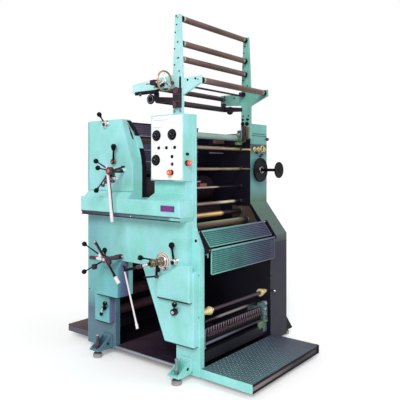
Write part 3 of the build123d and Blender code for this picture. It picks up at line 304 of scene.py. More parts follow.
# Footboard: a painted shade that darkens its tread, marks and recess along X.
BOARD_FAR_SHADE = (44, 44, 66)
TREAD = finish(
    "tread_plate", (72, 98, 106), 0.45, vary=0.25, speckle=0.12, bump=0.2, edge=(130, 148, 152), gloss=0.3,
    fade=("X", -0.35, 0.4, BOARD_FAR_SHADE),
)
TREAD_MARK = finish(
    "tread_mark", (118, 150, 154), 0.4, vary=0.2, gloss=0.35, fade=("X", -0.35, 0.4, (74, 76, 104)),
)
RECESS = finish("board_recess", (122, 110, 112), 0.5, vary=0.15, fade=("X", -0.4, 0.02, (38, 32, 38)))
BROWN_BOARD = finish(
    "brown_board", (96, 74, 72), 0.6, vary=0.35, speckle=0.25, bump=0.35, grain=60.0, gloss=0.15,
    ramp=("Y", [(-0.34, (34, 24, 40)), (0.05, (46, 34, 48)), (0.33, (62, 48, 58)),
                (0.66, (74, 58, 62)), (1.0, (92, 80, 80))]),
)
GREY_EDGE = finish("grey_edge", (150, 160, 165), 0.45, metal=0.3, vary=0.12, edge=(200, 210, 212))
MAUVE_EDGE = finish("mauve_edge", (128, 116, 126), 0.5, vary=0.12, edge=(165, 150, 160))
PLATFORM_EDGE = finish("platform_edge", (84, 80, 92), 0.6, vary=0.2, edge=(112, 108, 120))
PAD = finish(
    "grey_pad", (150, 148, 150), 0.5, vary=0.15, bump=0.3,
    ramp=("Z", [(0.0, (168, 164, 162)), (0.026, (142, 136, 138)), (0.042, (44, 36, 44))]),
)
STUD = finish("stud_grey", (104, 132, 134), 0.4, metal=0.4, vary=0.2, edge=(190, 214, 214))
FOOT_SHADED = finish("foot_shaded", (78, 112, 130), 0.45, vary=0.15, edge=(140, 186, 192))
INK_GREY = finish("ink_casting", (96, 122, 126), 0.42, metal=0.35, vary=0.3, speckle=0.25, edge=(170, 190, 190))
GREEN_CAST = finish("green_casting", (92, 122, 98), 0.5, vary=0.25, speckle=0.2, bump=0.3)
RUBBER = finish("press_rubber", (36, 27, 33), 0.5, vary=0.25, bump=0.1, stretch=(0.15, 1, 1), gloss=0.2)
COVERING = finish("dark_cover", (58, 38, 38), 0.42, vary=0.3, speckle=0.2, stretch=(0.1, 1, 1), gloss=0.3)
# Toe bar: a painted shade that darkens it along X.
TOE_BAR = finish("toe_bar", (96, 98, 112), 0.45, fade=("X", -0.25, 0.02, (30, 26, 36)))
ROLLER_DIM = finish("dim_roller", (72, 48, 58), 0.5, vary=0.3, speckle=0.2, stretch=(0.1, 1, 1), gloss=0.2)
# Guide rollers: light gold as a painted highlight, and near black as a painted shade towards the drive side; the lower
# one has a green painted light on its upper faces, and the middle one darker brown upper faces.
GOLD_LOOK = dict(rough=0.32, metal=0.4, vary=0.3, speckle=0.15, stretch=(0.08, 1, 1))
UPPER_FACE = finish(
    "roller_painted_highlight_and_shade", (150, 134, 124), fade=("X", 0.27, 0.31, (40, 30, 36)),
    ramp=("X", [(-0.5, (120, 102, 98)), (0.02, (160, 142, 128)), (0.16, (232, 218, 190)),
                (0.4, (226, 206, 170))]), **GOLD_LOOK)
MIDDLE_FACE = finish("cylinder_painted_highlight_and_shade", (244, 204, 140), fade=("X", 0.08, 0.12, (38, 28, 32)),
                     inner=("Z", 1, (120, 82, 50)), **GOLD_LOOK)
LOWER_FACE = finish(
    "brown_roller", (98, 74, 62), 0.4, vary=0.3, speckle=0.2, stretch=(0.08, 1, 1),
    inner=("Z", 1, (132, 150, 122)), fade=("X", 0.24, 0.34, (30, 22, 30)),
)
# Lower bar and fountain bar: a near black painted shade along their dark parts, and on the fountain bar a light grey
# painted highlight in the middle.
LOWER_BAR = finish("lower_bar", (178, 166, 160), 0.4, metal=0.4, fade=("X", 0.02, 0.08, (28, 20, 28)))
FOUNTAIN_BAR = finish(
    "fountain_bar", (60, 52, 62), 0.4, metal=0.3,
    ramp=("X", [(-0.5, (44, 36, 46)), (-0.24, (56, 48, 58)), (-0.16, (150, 146, 146)),
                (0.16, (140, 134, 136)), (0.24, (50, 40, 50)), (0.4, (36, 28, 38))]),
)

looks = {
    "teal_paint": TEAL, "grey_trim": TRIM, "white_face": WHITE, "black_plastic": BLACK, "red_button": RED,
    "purple_plate": PURPLE, "bright_steel": STEEL, "roller_brown": BROWN, "black_iron": DARK,
    "chrome_fittings": CHROME, "brass_fittings": BRASS, "tread_plate": TREAD, "floorboard": BROWN_BOARD,
    "guard_mesh": GUARD, "screen_mesh": BACKING, "press_rubber": RUBBER,
}
node_looks = {
    "operator_side_frame": TEAL_FRAME, "drive_side_housing": HOUSING, "far_web_post": TEAL_DEEP,
    "cross_ties": TIES, "near_web_post": TEAL_PALE, "guard_hinge_brackets": PITCH,
    "fountain_end_brackets": INK_GREY, "web_post_fittings": DARK, "operator_panel": TEAL_PANEL,
    "rear_leg_upper_cover": TEAL_REAR, "rear_leg_lower_cover": TEAL_REAR,
}
for part in frame["record"]["subparts"]:
    node = frame["nodes"][part["node"]]
    node.data.materials.clear()
    node.data.materials.append(node_looks.get(part["node"], looks[part["material_slot"]]))


# Mesh pieces
def mm(*sizes):
    """Sizes in millimetres, taken in pairs, as points in metres: (along, radius) in a profile, else (y, z)."""
    return [(first / 1000, second / 1000) for first, second in zip(sizes[::2], sizes[1::2])]


class Piece:
    """One mesh, built up from closed solids, each with its own material.

    A place given as a tuple counts from the piece's origin, with X times out. A Vector is a place in the frame."""

    def __init__(self, name, origin=(0, 0, 0), out=1):
        self.name, self.origin, self.out = name, origin, out
        self.mesh = bmesh.new()
        self.materials = []

    def at(self, place):
        if isinstance(place, Vector):
            return place
        return Vector((self.origin[0] + self.out * place[0], self.origin[1] + place[1], self.origin[2] + place[2]))

    def index(self, material):
        if material not in self.materials:
            self.materials.append(material)
        return self.materials.index(material)

    def face(self, corners, material):
        made = self.mesh.faces.new(corners)
        made.material_index = self.index(material)
        return made

    def prism(self, outline, shift, material):
        """A flat outline of points, carried along shift."""
        start = [self.mesh.verts.new(self.at(point)) for point in outline]
        end = [self.mesh.verts.new(self.at(point) + shift) for point in outline]
        self.face(start[::-1], material)
        self.face(end, material)
        for i in range(len(outline)):
            j = (i + 1) % len(outline)
            self.face([start[i], start[j], end[j], end[i]], material)

    def side(self, outline, x_start, x_end, material):
        """An outline of (y, z) points, from one x to another."""
        self.prism([(x_start, y, z) for y, z in outline], X * (x_end - x_start) * self.out, material)

    def box(self, corner, opposite, material, chamfer=0.0):
        (x0, x1), (y0, y1), (z0, z1) = [sorted(pair) for pair in zip(self.at(corner), self.at(opposite))]
        before = set(self.mesh.edges)
        base = [Vector((x, y, z0)) for x, y in ((x0, y0), (x1, y0), (x1, y1), (x0, y1))]
        self.prism(base, Z * (z1 - z0), material)
        if chamfer:
            edges = [edge for edge in self.mesh.edges if edge not in before]
            bmesh.ops.bevel(
                self.mesh, geom=edges, offset=chamfer, segments=2, profile=0.5, affect="EDGES", clamp_overlap=True,
                material=self.index(material),
            )

    def lathe(self, origin, axis, profile, material, segments=28, closed=False):
        """A profile of (along, radius) points turned about an axis. A closed one makes a ring."""
        origin = self.at(origin)
        axis = Vector(axis).normalized()
        across = axis.orthogonal().normalized()
        up = axis.cross(across)
        turns = [2 * math.pi * i / segments for i in range(segments)]
        rings = []
        for along, radius in profile:
            centre = origin + axis * along
            if radius <= 0:
                rings.append([self.mesh.verts.new(centre)])
            else:
                rings.append([
                    self.mesh.verts.new(centre + (across * math.cos(turn) + up * math.sin(turn)) * radius)
                    for turn in turns
                ])
        following = rings[1:] + (rings[:1] if closed else [])
        for ring, after in zip(rings, following):
            for i in range(segments):
                j = (i + 1) % segments
                corners = [ring[i % len(ring)], ring[j % len(ring)], after[j % len(after)], after[i % len(after)]]
                self.face(list(dict.fromkeys(corners)), material)
        if not closed:
            for ring in (rings[0], rings[-1]):
                if len(ring) > 1:
                    self.face(ring, material)

    def rod(self, start, end, radius, material, segments=20, chamfer=0.001):
        start, end = self.at(start), self.at(end)
        reach = (end - start).length
        edge = min(chamfer, radius / 2, reach / 3)
        profile = [(0, radius - edge), (edge, radius), (reach - edge, radius), (reach, radius - edge)]
        self.lathe(start, end - start, profile, material, segments)

    def shaft(self, start_x, end_x, radius, material, segments=20, chamfer=0.001):
        """A rod along X through the origin."""
        self.rod((start_x, 0, 0), (end_x, 0, 0), radius, material, segments, chamfer)

    def turn(self, x, way, profile, material, segments=28):
        """A profile turned about the X axis through the origin, towards +X or -X (way 1 or -1)."""
        self.lathe((x, 0, 0), X * way, profile, material, segments)

    def ends(self, left, right, profile, material, segments=28):
        """The same profile turned inwards from both ends of a shaft."""
        self.turn(left, 1, profile, material, segments)
        self.turn(right, -1, profile, material, segments)

    def thread(self, start, end, radius, material, pitch=0.004, segments=16):
        """A rod with a ridged surface, as a screw reads from a distance."""
        start, end = self.at(start), self.at(end)
        reach = (end - start).length
        profile = [(0, radius * 0.8)]
        for i in range(int(reach / pitch)):
            profile += [((i + 0.5) * pitch, radius), ((i + 1) * pitch, radius * 0.84)]
        self.lathe(start, end - start, profile, material, segments)

    def ball(self, centre, radius, material, squash=1.0, axis=(0, 0, 1)):
        turns = [math.pi * i / 12 for i in range(1, 12)]
        profile = [(-math.cos(turn) * radius * squash, math.sin(turn) * radius) for turn in turns]
        reach = radius * squash
        self.lathe(centre, axis, [(-reach, 0), *profile, (reach, 0)], material, 24)

    def ring(self, centre, axis, radius, thickness, material, segments=48, sides=12):
        turns = [2 * math.pi * i / sides for i in range(sides)]
        profile = [(math.sin(turn) * thickness, radius + math.cos(turn) * thickness) for turn in turns]
        self.lathe(centre, axis, profile, material, segments, closed=True)

    def bolt(self, place, axis, radius, material, height=None):
        """A hexagon head on a washer."""
        height = height or radius * 0.9
        place, axis = self.at(place), Vector(axis).normalized()
        self.rod(place, place + axis * radius * 0.25, radius * 1.35, material, 16, 0.0004)
        head = [(radius * 0.25, radius), (height, radius), (height + radius * 0.15, radius * 0.8)]
        self.lathe(place, axis, head, material, 6)

    def screw(self, place, axis, radius, material, height=0.0015):
        """A round socket head with a sunk centre."""
        head = [
            (0, radius), (height * 0.7, radius), (height, radius * 0.85), (height, radius * 0.5),
            (height * 0.2, radius * 0.45), (height * 0.2, 0),
        ]
        self.lathe(place, axis, head, material, 14)

    def perforated(self, origin, along, across, counts, pitch, thickness, material, hole=0.66):
        """A sheet of square cells, each with an eight-sided hole."""
        origin = self.at(origin)
        lift = along.cross(across) * thickness / 2
        columns, rows = counts
        step_u, step_v = pitch

        def point(i, j, side):
            return self.mesh.verts.new(origin + along * i * step_u + across * j * step_v + lift * side)

        level = {(i, j, side): point(i, j, side)
                 for i in range(columns + 1) for j in range(rows + 1) for side in (1, -1)}
        far, near = hole * 0.5, hole * 0.21  # the eight corners, as shares of the cell
        outline = [(far, near), (near, far), (-near, far), (-far, near), (-far, -near), (-near, -far), (near, -far),
                   (far, -near)]
        for i in range(columns):
            for j in range(rows):
                rims = [[point(i + 0.5 + u, j + 0.5 + v, side) for u, v in outline] for side in (1, -1)]
                for side, rim in zip((1, -1), rims):
                    square = [level[i + a, j + b, side] for a, b in ((1, 1), (0, 1), (0, 0), (1, 0))]
                    for k in range(4):
                        self.face([square[k], rim[2 * k + 1], rim[2 * k]], material)
                        self.face([square[k], square[(k + 1) % 4], rim[(2 * k + 2) % 8], rim[2 * k + 1]], material)
                for k in range(8):
                    n = (k + 1) % 8
                    self.face([rims[0][k], rims[0][n], rims[1][n], rims[1][k]], material)
        borders = [((i, j), (i + 1, j)) for i in range(columns) for j in (0, rows)]
        borders += [((i, j), (i, j + 1)) for i in (0, columns) for j in range(rows)]
        for first, last in borders:
            self.face([level[(*place, side)] for place, side in ((first, 1), (last, 1), (last, -1), (first, -1))],
                      material)

    def tread(self, low_corner, high_corner, top, material, pitch=0.021, rise=0.0015):
        """Rows of raised lozenges, turned alternately, on a flat top."""
        (x0, y0), (x1, y1) = low_corner, high_corner
        columns, rows = int((x1 - x0) / pitch), int((y1 - y0) / pitch)
        long_half, short_half = pitch * 0.42, pitch * 0.16  # half a lozenge
        for i in range(columns):
            for j in range(rows):
                turn = math.radians(45 if (i + j) % 2 else -45)
                ahead = Vector((math.cos(turn), math.sin(turn), 0))
                aside = Vector((-math.sin(turn), math.cos(turn), 0))
                centre = self.at((x0 + (i + 0.5) * pitch, y0 + (j + 0.5) * pitch, top))
                tips = [(ahead * u * long_half, aside * v * short_half) for u, v in ((1, 0), (0, 1), (-1, 0), (0, -1))]
                base = [self.mesh.verts.new(centre + long + short) for long, short in tips]
                crest = [self.mesh.verts.new(centre + long * 0.6 + short * 0.5 + Z * rise) for long, short in tips]
                for k in range(4):
                    n = (k + 1) % 4
                    self.face([base[k], base[n], crest[n], crest[k]], material)
                self.face(crest, material)
                self.face(base[::-1], material)

    def done(self, body, slot, *nodes, sharp=32):
        bmesh.ops.recalc_face_normals(self.mesh, faces=self.mesh.faces[:])
        mesh = bpy.data.meshes.new(self.name)
        self.mesh.to_mesh(mesh)
        self.mesh.free()
        for polygon in mesh.polygons:
            polygon.use_smooth = True
        mesh.set_sharp_from_angle(angle=math.radians(sharp))
        for material in self.materials:
            mesh.materials.append(material)
        made = bpy.data.objects.new(self.name, mesh)
        bpy.context.scene.collection.objects.link(made)
        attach(made, body)
        if nodes:
            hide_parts(*nodes)

    def own(self, slot):
        """Done, riding on the node of the same name and standing for it."""
        self.done(self.name, slot, self.name)


# Rollers of the web stand
POST, COLLAR, CAP, DISC = 0.026, 0.028, 0.018, 0.016


def axle(node):
    """A roller's piece, with its origin on the axis at x 0, its two ends and its radius."""
    start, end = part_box(node)
    piece = Piece(node, (0, (start.y + end.y) / 2, (start.z + end.z) / 2))
    return piece, start.x, end.x, (end.z - start.z) / 2


for number in (1, 2, 3, 4):
    idler, left, right, radius = axle(f"web_idler_{number}")
    idler.shaft(left, right, 0.008, STEEL)
    left, right = left + POST, right - POST
    idler.ends(left, right, [(0, 0.012), (0.003, radius * 1.04), (COLLAR - 0.002, radius * 1.04), (COLLAR, 0.014)],
               BLACK)
    left, right = left + COLLAR, right - COLLAR
    idler.ends(left, right, [(0, 0.012), (0, radius * 0.9), (0.004, radius), (CAP, radius), (CAP, 0.012)], STEEL)
    idler.shaft(left + CAP, right - CAP, radius, BROWN, 36)
    idler.own("roller_brown")

lead, left, right, radius = axle("web_lead_roller")
lead.shaft(left, right, 0.008, STEEL)
lead.shaft(left + POST, right - POST, radius, DARK_TUBE, 36, 0.003)
for place in (left + 0.04, right - 0.05):
    lead.turn(place, 1, [(0, radius), (0.001, radius + 0.0006), (0.009, radius + 0.0006), (0.01, radius)], STEEL, 36)
lead.own("black_iron")

compensator, left, right, radius = axle("compensator_roller")
compensator.shaft(left, right, 0.008, STEEL)
compensator.shaft(low("web_idler_1").x + 0.038, high("web_idler_1").x - 0.038, 0.023, DARK_TUBE, 36, 0.003)
compensator.ends(left, right, [
    (0, 0), (0, 0.012), (0.003, 0.014), (0.003, 0.026), (0, 0.029), (0, radius - 0.004), (0.003, radius),
    (DISC - 0.003, radius), (DISC, radius - 0.004), (DISC, 0.01),
], PITCH, 40)
compensator.ends(left, right, mm(0, 7, 4.5, 7), STEEL, 6)
for x in (left + 0.002, right - 0.002):
    compensator.ring((x, 0, 0), X, 0.0275, 0.0016, GREY_EDGE, 32, 8)
compensator.own("black_iron")

# Web stand: screws, holes and the black slot on the posts
post_x = low("near_web_post").x
far_face, far_back = low("far_web_post").x, high("far_web_post").x
HOLES = mm(-345, 2657, -350, 2593, -337, 2537, -362, 2464, -329, 2417, -368, 2346, -330, 2298, -374, 2248)
GUSSET_SCREWS = mm(-455, 2175, -528, 2178)
ARM_SCREWS = mm(-130, 2170, -235, 2150, -330, 1985, -385, 1985, -330, 1955, -385, 1955)
marks = Piece("web_post_screws")
for size, places in ((0.0065, HOLES), (0.0085, GUSSET_SCREWS)):
    for y, z in places:
        for x, way in ((post_x, -X), (far_back, X), (far_face, -X)):
            marks.screw((x, y, z), way, size, PITCH)
for y, z in ARM_SCREWS:
    marks.screw((far_face, y, z), -X, 0.0075, PITCH)
    if z < TOP + 0.1:
        marks.bolt((post_x, y, z), -X, 0.008, STEEL)
SLOT = -0.384
marks.side([(SLOT - 0.009, 2.056), (SLOT + 0.009, 2.056), (SLOT + 0.009, 2.2), (SLOT, 2.211), (SLOT - 0.009, 2.2)],
           post_x - 0.0015, post_x, PITCH)
marks.done(PRESS, "black_plastic")

clamps = Piece("web_post_clamps", (post_x, 0, 0))
for y, z, size in ((-0.332, 2.16, 0.017), (-0.365, 2.105, 0.024), (-0.352, 2.0, 0.018)):
    clamps.ring((-0.027, y, z), X, size * 0.8, size * 0.22, CLAMP, 28, 8)
    clamps.bolt((-0.025, y, z), -X, size * 0.45, CLAMP)
for z in (2.07, 2.018):
    clamps.box((-0.03, -0.398, z), (-0.024, -0.334, z + 0.008), CLAMP, 0.002)
hub = pivots["web_handwheel"]
clamps.box((-0.045, -0.205, hub.z - 0.024), (-0.001, -0.155, hub.z - 0.018), DARK, 0.002)
clamps.bolt(Vector((hub.x, -0.198, hub.z + 0.018)), Z, 0.006, STEEL)
clamps.box((-0.004, -0.262, 2.125), (0.004, -0.15, 2.133), PITCH, 0.001)
hanger_y = (low("compensator_roller").y + high("compensator_roller").y) / 2
hanger_z = high("compensator_roller").z + 0.006
clamps.box((-0.005, -0.16, 2.106), (0.012, 0.085, 2.132), PITCH, 0.002)
clamps.box((-0.034, hanger_y - 0.046, hanger_z), (-0.004, hanger_y + 0.034, 2.118), PITCH, 0.004)
clamps.bolt((-0.005, 0.022, 2.106), -X, 0.01, CLAMP)
clamps.origin = (far_face, 0, 0)
for y in (-0.328, -0.372):
    clamps.bolt((-0.001, y, 1.918), -X, 0.013, PITCH, 0.016)
    clamps.bolt((-0.001, y, 1.955), -X, 0.008, PITCH)
clamps.box((-0.016, -0.36, 1.76), (0, -0.326, 1.9), CLAMP, 0.004)
clamps.box((-0.012, -0.392, 1.78), (0, -0.364, 1.89), BARREL, 0.004)
clamps.box((-0.04, -0.356, 2.158), (-0.001, -0.31, 2.192), PITCH, 0.004)
clamps.bolt((-0.041, -0.334, 2.176), -X, 0.008, DARK)
clamps.done(PRESS, "black_iron")

# Chrome handwheel on its screw
wheel_low, wheel_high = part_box("web_handwheel")
rim_radius = (wheel_high.z - wheel_low.z) / 2 - 0.007
wheel = Piece("web_handwheel", (hub.x, wheel_low.y + 0.015, hub.z))
wheel.ring((0, 0, 0), Y, rim_radius, 0.007, GOLD, 64, 14)
wheel.lathe((0, -0.015, 0), Y, mm(0, 8, 3, 13, 10, 15, 26, 15, 30, 11), CHROME)
centre = wheel.at((0, 0, 0))
for turn in map(math.radians, (90, 210, 330)):
    spoke = Vector((math.cos(turn), 0, math.sin(turn)))
    middle = centre + spoke * rim_radius * 0.5 + Y * 0.004
    wheel.rod(centre + spoke * 0.01, middle, 0.0055, CHROME)
    wheel.rod(middle, centre + spoke * rim_radius, 0.005, CHROME)
    wheel.ball(middle, 0.0056, CHROME)
wheel.thread((0, 0.012, 0), Vector((hub.x, wheel_high.y, hub.z)), 0.008, STEEL)
wheel.own("chrome_fittings")


# Drive side handwheel
def dished_wheel(piece, y, radius, rim, web, hub_radius):
    half = [(-web * 0.6, hub_radius * 1.2), (-web * 0.2, radius * 0.55), (-web * 0.5, radius - rim * 0.9)]
    profile = [(-web * 1.4, 0), (-web * 1.4, hub_radius * 0.8), *half]
    for i in range(13):
        turn = math.radians(-150 + 25 * i)
        profile.append((math.sin(turn / 2) * rim, radius + math.cos(turn / 2) * rim * 0.9))
    profile += [(web * 0.5, radius - rim * 0.9), (web * 0.9, radius * 0.55), (web * 0.6, hub_radius * 1.2),
                (web * 1.4, hub_radius * 0.8), (web * 1.4, 0)]
    piece.lathe((0, y, 0), -Y, profile, BLACK, 56)


HOUSING_FRONT, BIG_WHEEL_Y = -0.362, -0.403
wheel_low, wheel_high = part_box("drive_handwheel")
knob_y = wheel_low.y + 0.008
drive_radius = (wheel_high.z - wheel_low.z) / 2 - 0.011
drive = Piece("drive_handwheel", (pivots["drive_handwheel"].x, 0, pivots["drive_handwheel"].z))
drive.rod((0, HOUSING_FRONT + 0.03, 0), (0, knob_y, 0), 0.013, BLACK)
dished_wheel(drive, BIG_WHEEL_Y, drive_radius, 0.011, 0.01, 0.03)
dished_wheel(drive, knob_y, drive_radius * 0.64, 0.008, 0.009, 0.018)
drive.ring((0, BIG_WHEEL_Y - 0.012, 0), Y, 0.027, 0.003, STEEL, 32, 8)
drive.bolt((-0.03, BIG_WHEEL_Y - 0.004, 0.006), -Y, 0.006, CHROME)
drive.bolt((0.016, BIG_WHEEL_Y - 0.01, -0.02), -Y, 0.005, CHROME)
drive.own("black_iron")

# Front guards: perforated sheets with rims, on a rolled edge with pins
GUARD_PITCH = 0.015
guard_feet = {"front_guard_upper": (-0.607, 0.965), "front_guard_lower": (-0.617, 0.768)}
for name, (foot_y, foot_z) in guard_feet.items():
    hinge = pivots[name]
    run = Vector((0, foot_y - hinge.y, foot_z - hinge.z))
    drop = run.normalized()
    outwards = -Y if name == "front_guard_lower" else drop.cross(X)
    left = INNER_LEFT + 0.02
    right = INNER_RIGHT - (0.044 if name == "front_guard_upper" else 0.02)
    rim = 0.006
    columns = round((right - left - 2 * rim) / GUARD_PITCH)
    rows = round((run.length - 2 * rim) / GUARD_PITCH)
    pitch = ((right - left - 2 * rim) / columns, (run.length - 2 * rim) / rows)
    corner = Vector((left + rim, hinge.y, hinge.z)) + drop * rim
    sheet = Piece(name)
    sheet.perforated(corner, X, drop, (columns, rows), pitch, 0.002, GUARD, 0.74)
    lift = outwards.normalized() * 0.0035
    top_left = Vector((left, hinge.y, hinge.z))
    for place, reach, width in (
        (top_left + drop * (run.length - rim), X * (right - left), drop * rim),
        (top_left, drop * run.length, X * rim),
        (top_left + X * (right - left - rim), drop * run.length, X * rim),
        (top_left, X * (right - left), drop * rim),
    ):
        sheet.prism([place - lift, place + width - lift, place + width + lift, place + lift], reach, GUARD_RIM)
    sheet.rod((left, hinge.y, hinge.z), (right, hinge.y, hinge.z), 0.007, GUARD_RIM)
    sheet.rod((INNER_LEFT, hinge.y, hinge.z), (INNER_RIGHT, hinge.y, hinge.z), 0.005, STEEL)
    sheet.own("guard_mesh")

# Latch on the left guard bracket
latch = Piece("guard_latch", (INNER_LEFT + 0.008, 0, 0))
latch.box((0, -0.6, 0.955), (0.006, -0.588, 0.985), GUARD_RIM, 0.001)
latch.box((0, -0.599, 0.89), (0.004, -0.59, 0.96), GREY_EDGE, 0.001)
latch.bolt((0, -0.578, 0.915), X, 0.006, STEEL)
latch.done(PRESS, "black_iron")

# Perforated screen between the columns, with a solid lower part
screen_low, screen_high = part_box("middle_screen")
SOLID_TOP = 1.588
width, height = screen_high.x - screen_low.x, screen_high.z - SOLID_TOP
counts = round(width / GUARD_PITCH), round(height / GUARD_PITCH)
screen = Piece("middle_screen")
screen.perforated((screen_low.x, (screen_low.y + screen_high.y) / 2, SOLID_TOP), X, Z, counts,
                  (width / counts[0], height / counts[1]), 0.002, SCREEN)
screen.box(screen_low, (screen_high.x, screen_high.y, SOLID_TOP), SCREEN, 0.0008)
# A near black sheet behind the holes: painted shade of the inside.
screen.box((screen_low.x, screen_high.y, SOLID_TOP), (screen_high.x, screen_high.y + 0.001, screen_high.z), BACKING)
for z, height, material in (
    (screen_high.z - 0.01, 0.01, PITCH), (1.799, 0.007, SCREEN_LINE), (1.781, 0.016, PITCH),
    (1.772, 0.005, SCREEN_LINE), (1.682, 0.006, SCREEN_LINE), (1.585, 0.007, SCREEN_LINE), (1.545, 0.004, DARK_TUBE),
    (1.515, 0.004, DARK_TUBE),
):
    screen.box((screen_low.x, screen_low.y - 0.004, z), (screen_high.x, screen_low.y, z + height), material, 0.001)
screen.done(PRESS, "screen_mesh", "middle_screen")


# Levers, whose ball knobs are drawn larger than their nominal radius, as the photo reads
BALL_SCALE = 1.15


class Lever(Piece):
    """A lever on its cover, which replaces its node. Its places are (out, along Y, along Z) from the pivot."""

    def __init__(self, name, cover, reach=0.02, radius=0.009, material=STEEL):
        pivot = pivots[name]
        super().__init__(name, (low(cover).x, pivot.y, pivot.z), -1)
        self.shaft(-0.028, reach, radius, material)

    def hub(self, out, radius, length, material, cap=CHROME):
        self.turn(out, -1, [
            (0, radius * 0.7), (0.002, radius), (length * 0.3, radius), (length * 0.34, radius * 0.86),
            (length * 0.62, radius * 0.86), (length * 0.66, radius), (length - 0.003, radius), (length, radius * 0.8),
        ], material)
        self.turn(out + length, -1, [(0, radius * 0.55), (0.002, radius * 0.5), (0.002, 0)], cap, 6)

    def bar(self, start, end, radius, material, segments, chamfer):
        """A straight bar; returns its ends and its direction."""
        start, end = self.at(start), self.at(end)
        self.rod(start, end, radius, material, segments, chamfer)
        return start, end, (end - start).normalized()

    def knobbed(self, start, end, radius=0.006, knob=0.017, material=BLACK):
        """A tapering rod with a collar and a ball knob."""
        knob *= BALL_SCALE
        first, last = self.at(start), self.at(end)
        way = (last - first).normalized()
        self.lathe(first, way, [(0, radius * 1.15), ((last - first).length, radius * 0.75)], material, 18)
        self.lathe(last - way * knob * 1.5, way, [(0, radius * 0.9), (0.001, radius * 1.3), (knob * 0.5, radius * 1.5),
                                                  (knob * 0.9, radius * 1.2)], BLACK, 18)
        self.ball(last, knob, BLACK, 1.06, way)
        self.lathe(last + way * knob * 0.98, way, [(0, knob * 0.28), (knob * 0.08, knob * 0.2)], GREY_EDGE, 12)

    def clamp(self, out, y, z, radius, length, material=CLAMP):
        """A split collar with its bolt, parallel to the pivot's axis."""
        profile = [(0, radius * 0.85), (0.002, radius), (length - 0.002, radius), (length, radius * 0.85)]
        self.lathe((out, y, z), -X, profile, material)
        self.bolt((out + length / 2, y + radius * 0.9, z), Y, radius * 0.28, STEEL)

    def tipped(self, start, end, radius, grip, grip_start, cap, cap_material, material):
        """A plain rod with a thicker black end and a rounded tip."""
        self.rod(start, end, radius, material)
        self.rod(self.at(end) + grip_start, end, grip, BLACK)
        self.ball(end, cap, cap_material)


lever = Lever("tower_top_lever", "rear_tower_cover")
lever.turn(0, -1, mm(0, 30, 3, 30, 3, 12), CHROME)
lever.hub(0.003, 0.024, 0.026, CHROME)
lever.ball((0.02, 0, -0.004), 0.02, DARK_TUBE, 0.8, X)
lever.knobbed((0.015, 0, 0), (0.045, 0.034, 0.075))
lever.own("chrome_fittings")

lever = Lever("tower_middle_lever", "rear_tower_cover")
lever.hub(0.003, 0.02, 0.03, BLACK, COPPER)
lever.turn(0.008, -1, mm(0, 20, 2, 21.5, 12, 21.5, 14, 20), COPPER)
lever.knobbed((0.018, 0, 0), (0.04, -0.028, 0.117), 0.008, 0.019)
lever.ball((0.04, -0.0255, 0.102), 0.016, BLACK, 1.2)
lever.own("chrome_fittings")

lever = Lever("tower_bar_lever", "rear_tower_cover", 0.16, 0.014, DARK_TUBE)
lever.turn(0, -1, mm(0, 26, 3, 26, 6, 21, 6, 15), TEAL)
lever.shaft(0.004, 0.022, 0.018, TEAL_PALE, 24, 0.003)
lever.shaft(0.026, 0.06, 0.017, DARK_TUBE)
lever.thread((0.062, 0, 0), (0.126, 0, 0), 0.016, DARK_TUBE)
lever.hub(0.128, 0.03, 0.036, CLAMP, COPPER)
lever.ring((0.116, -0.03, -0.058), X, 0.014, 0.005, CHROME, 28, 8)
for clamp in ((0.1, 0.012, -0.03, 0.02, 0.024), (0.118, -0.012, -0.078, 0.013, 0.024),
              (0.118, 0.098, -0.112, 0.012, 0.022), (0.12, 0.046, -0.052, 0.018, 0.026),
              (0.112, 0.07, -0.085, 0.014, 0.022)):
    lever.clamp(*clamp)
for link_end in ((0.128, -0.012, -0.078), (0.128, 0.098, -0.112)):
    lever.rod((0.128, 0.014, -0.036), link_end, 0.006, CLAMP)
start, end, way = lever.bar((0.15, 0.029, 0.045), (0.15, -0.03, -0.387), 0.011, WHITE_SHEEN, 28, 0.003)
# A dark rod behind the white bar: a painted shadow along its side.
lever.rod(start + way * 0.018 + X * 0.012, end - way * 0.04 + X * 0.012, 0.008, PITCH)
lever.lathe(end - way * 0.075, way, mm(0, 11.2, 4, 13, 66, 13, 72, 9), WHITE_SHEEN)
for out, y, z in ((0.14, 0.168, 0.075), (0.136, 0.151, 0.022), (0.144, 0.158, -0.152)):
    lever.knobbed((out, 0, 0), (out, y, z), material=DARK)
for out, y, z in ((0.14, -0.152, 0.032), (0.144, -0.146, -0.006)):
    lever.tipped((out, 0, 0), (out, y, z), 0.0065, 0.0072, Y * 0.03, 0.0068, DARK_TUBE, DARK)
lever.own("chrome_fittings")

lever = Lever("lower_bar_lever", "operator_panel", 0.2, 0.014, DARK_TUBE)
lever.turn(0, -1, mm(0, 28, 3, 28, 6, 22, 6, 15), TEAL)
lever.shaft(0.02, 0.08, 0.02, DARK_TUBE)
lever.thread((0.084, 0, 0), (0.16, 0, 0), 0.017, DARK_TUBE)
lever.hub(0.162, 0.026, 0.04, CLAMP)
start, end, way = lever.bar((0.19, 0.115, 0.128), (0.19, -0.162, -0.162), 0.011, PITCH, 28, 0.003)
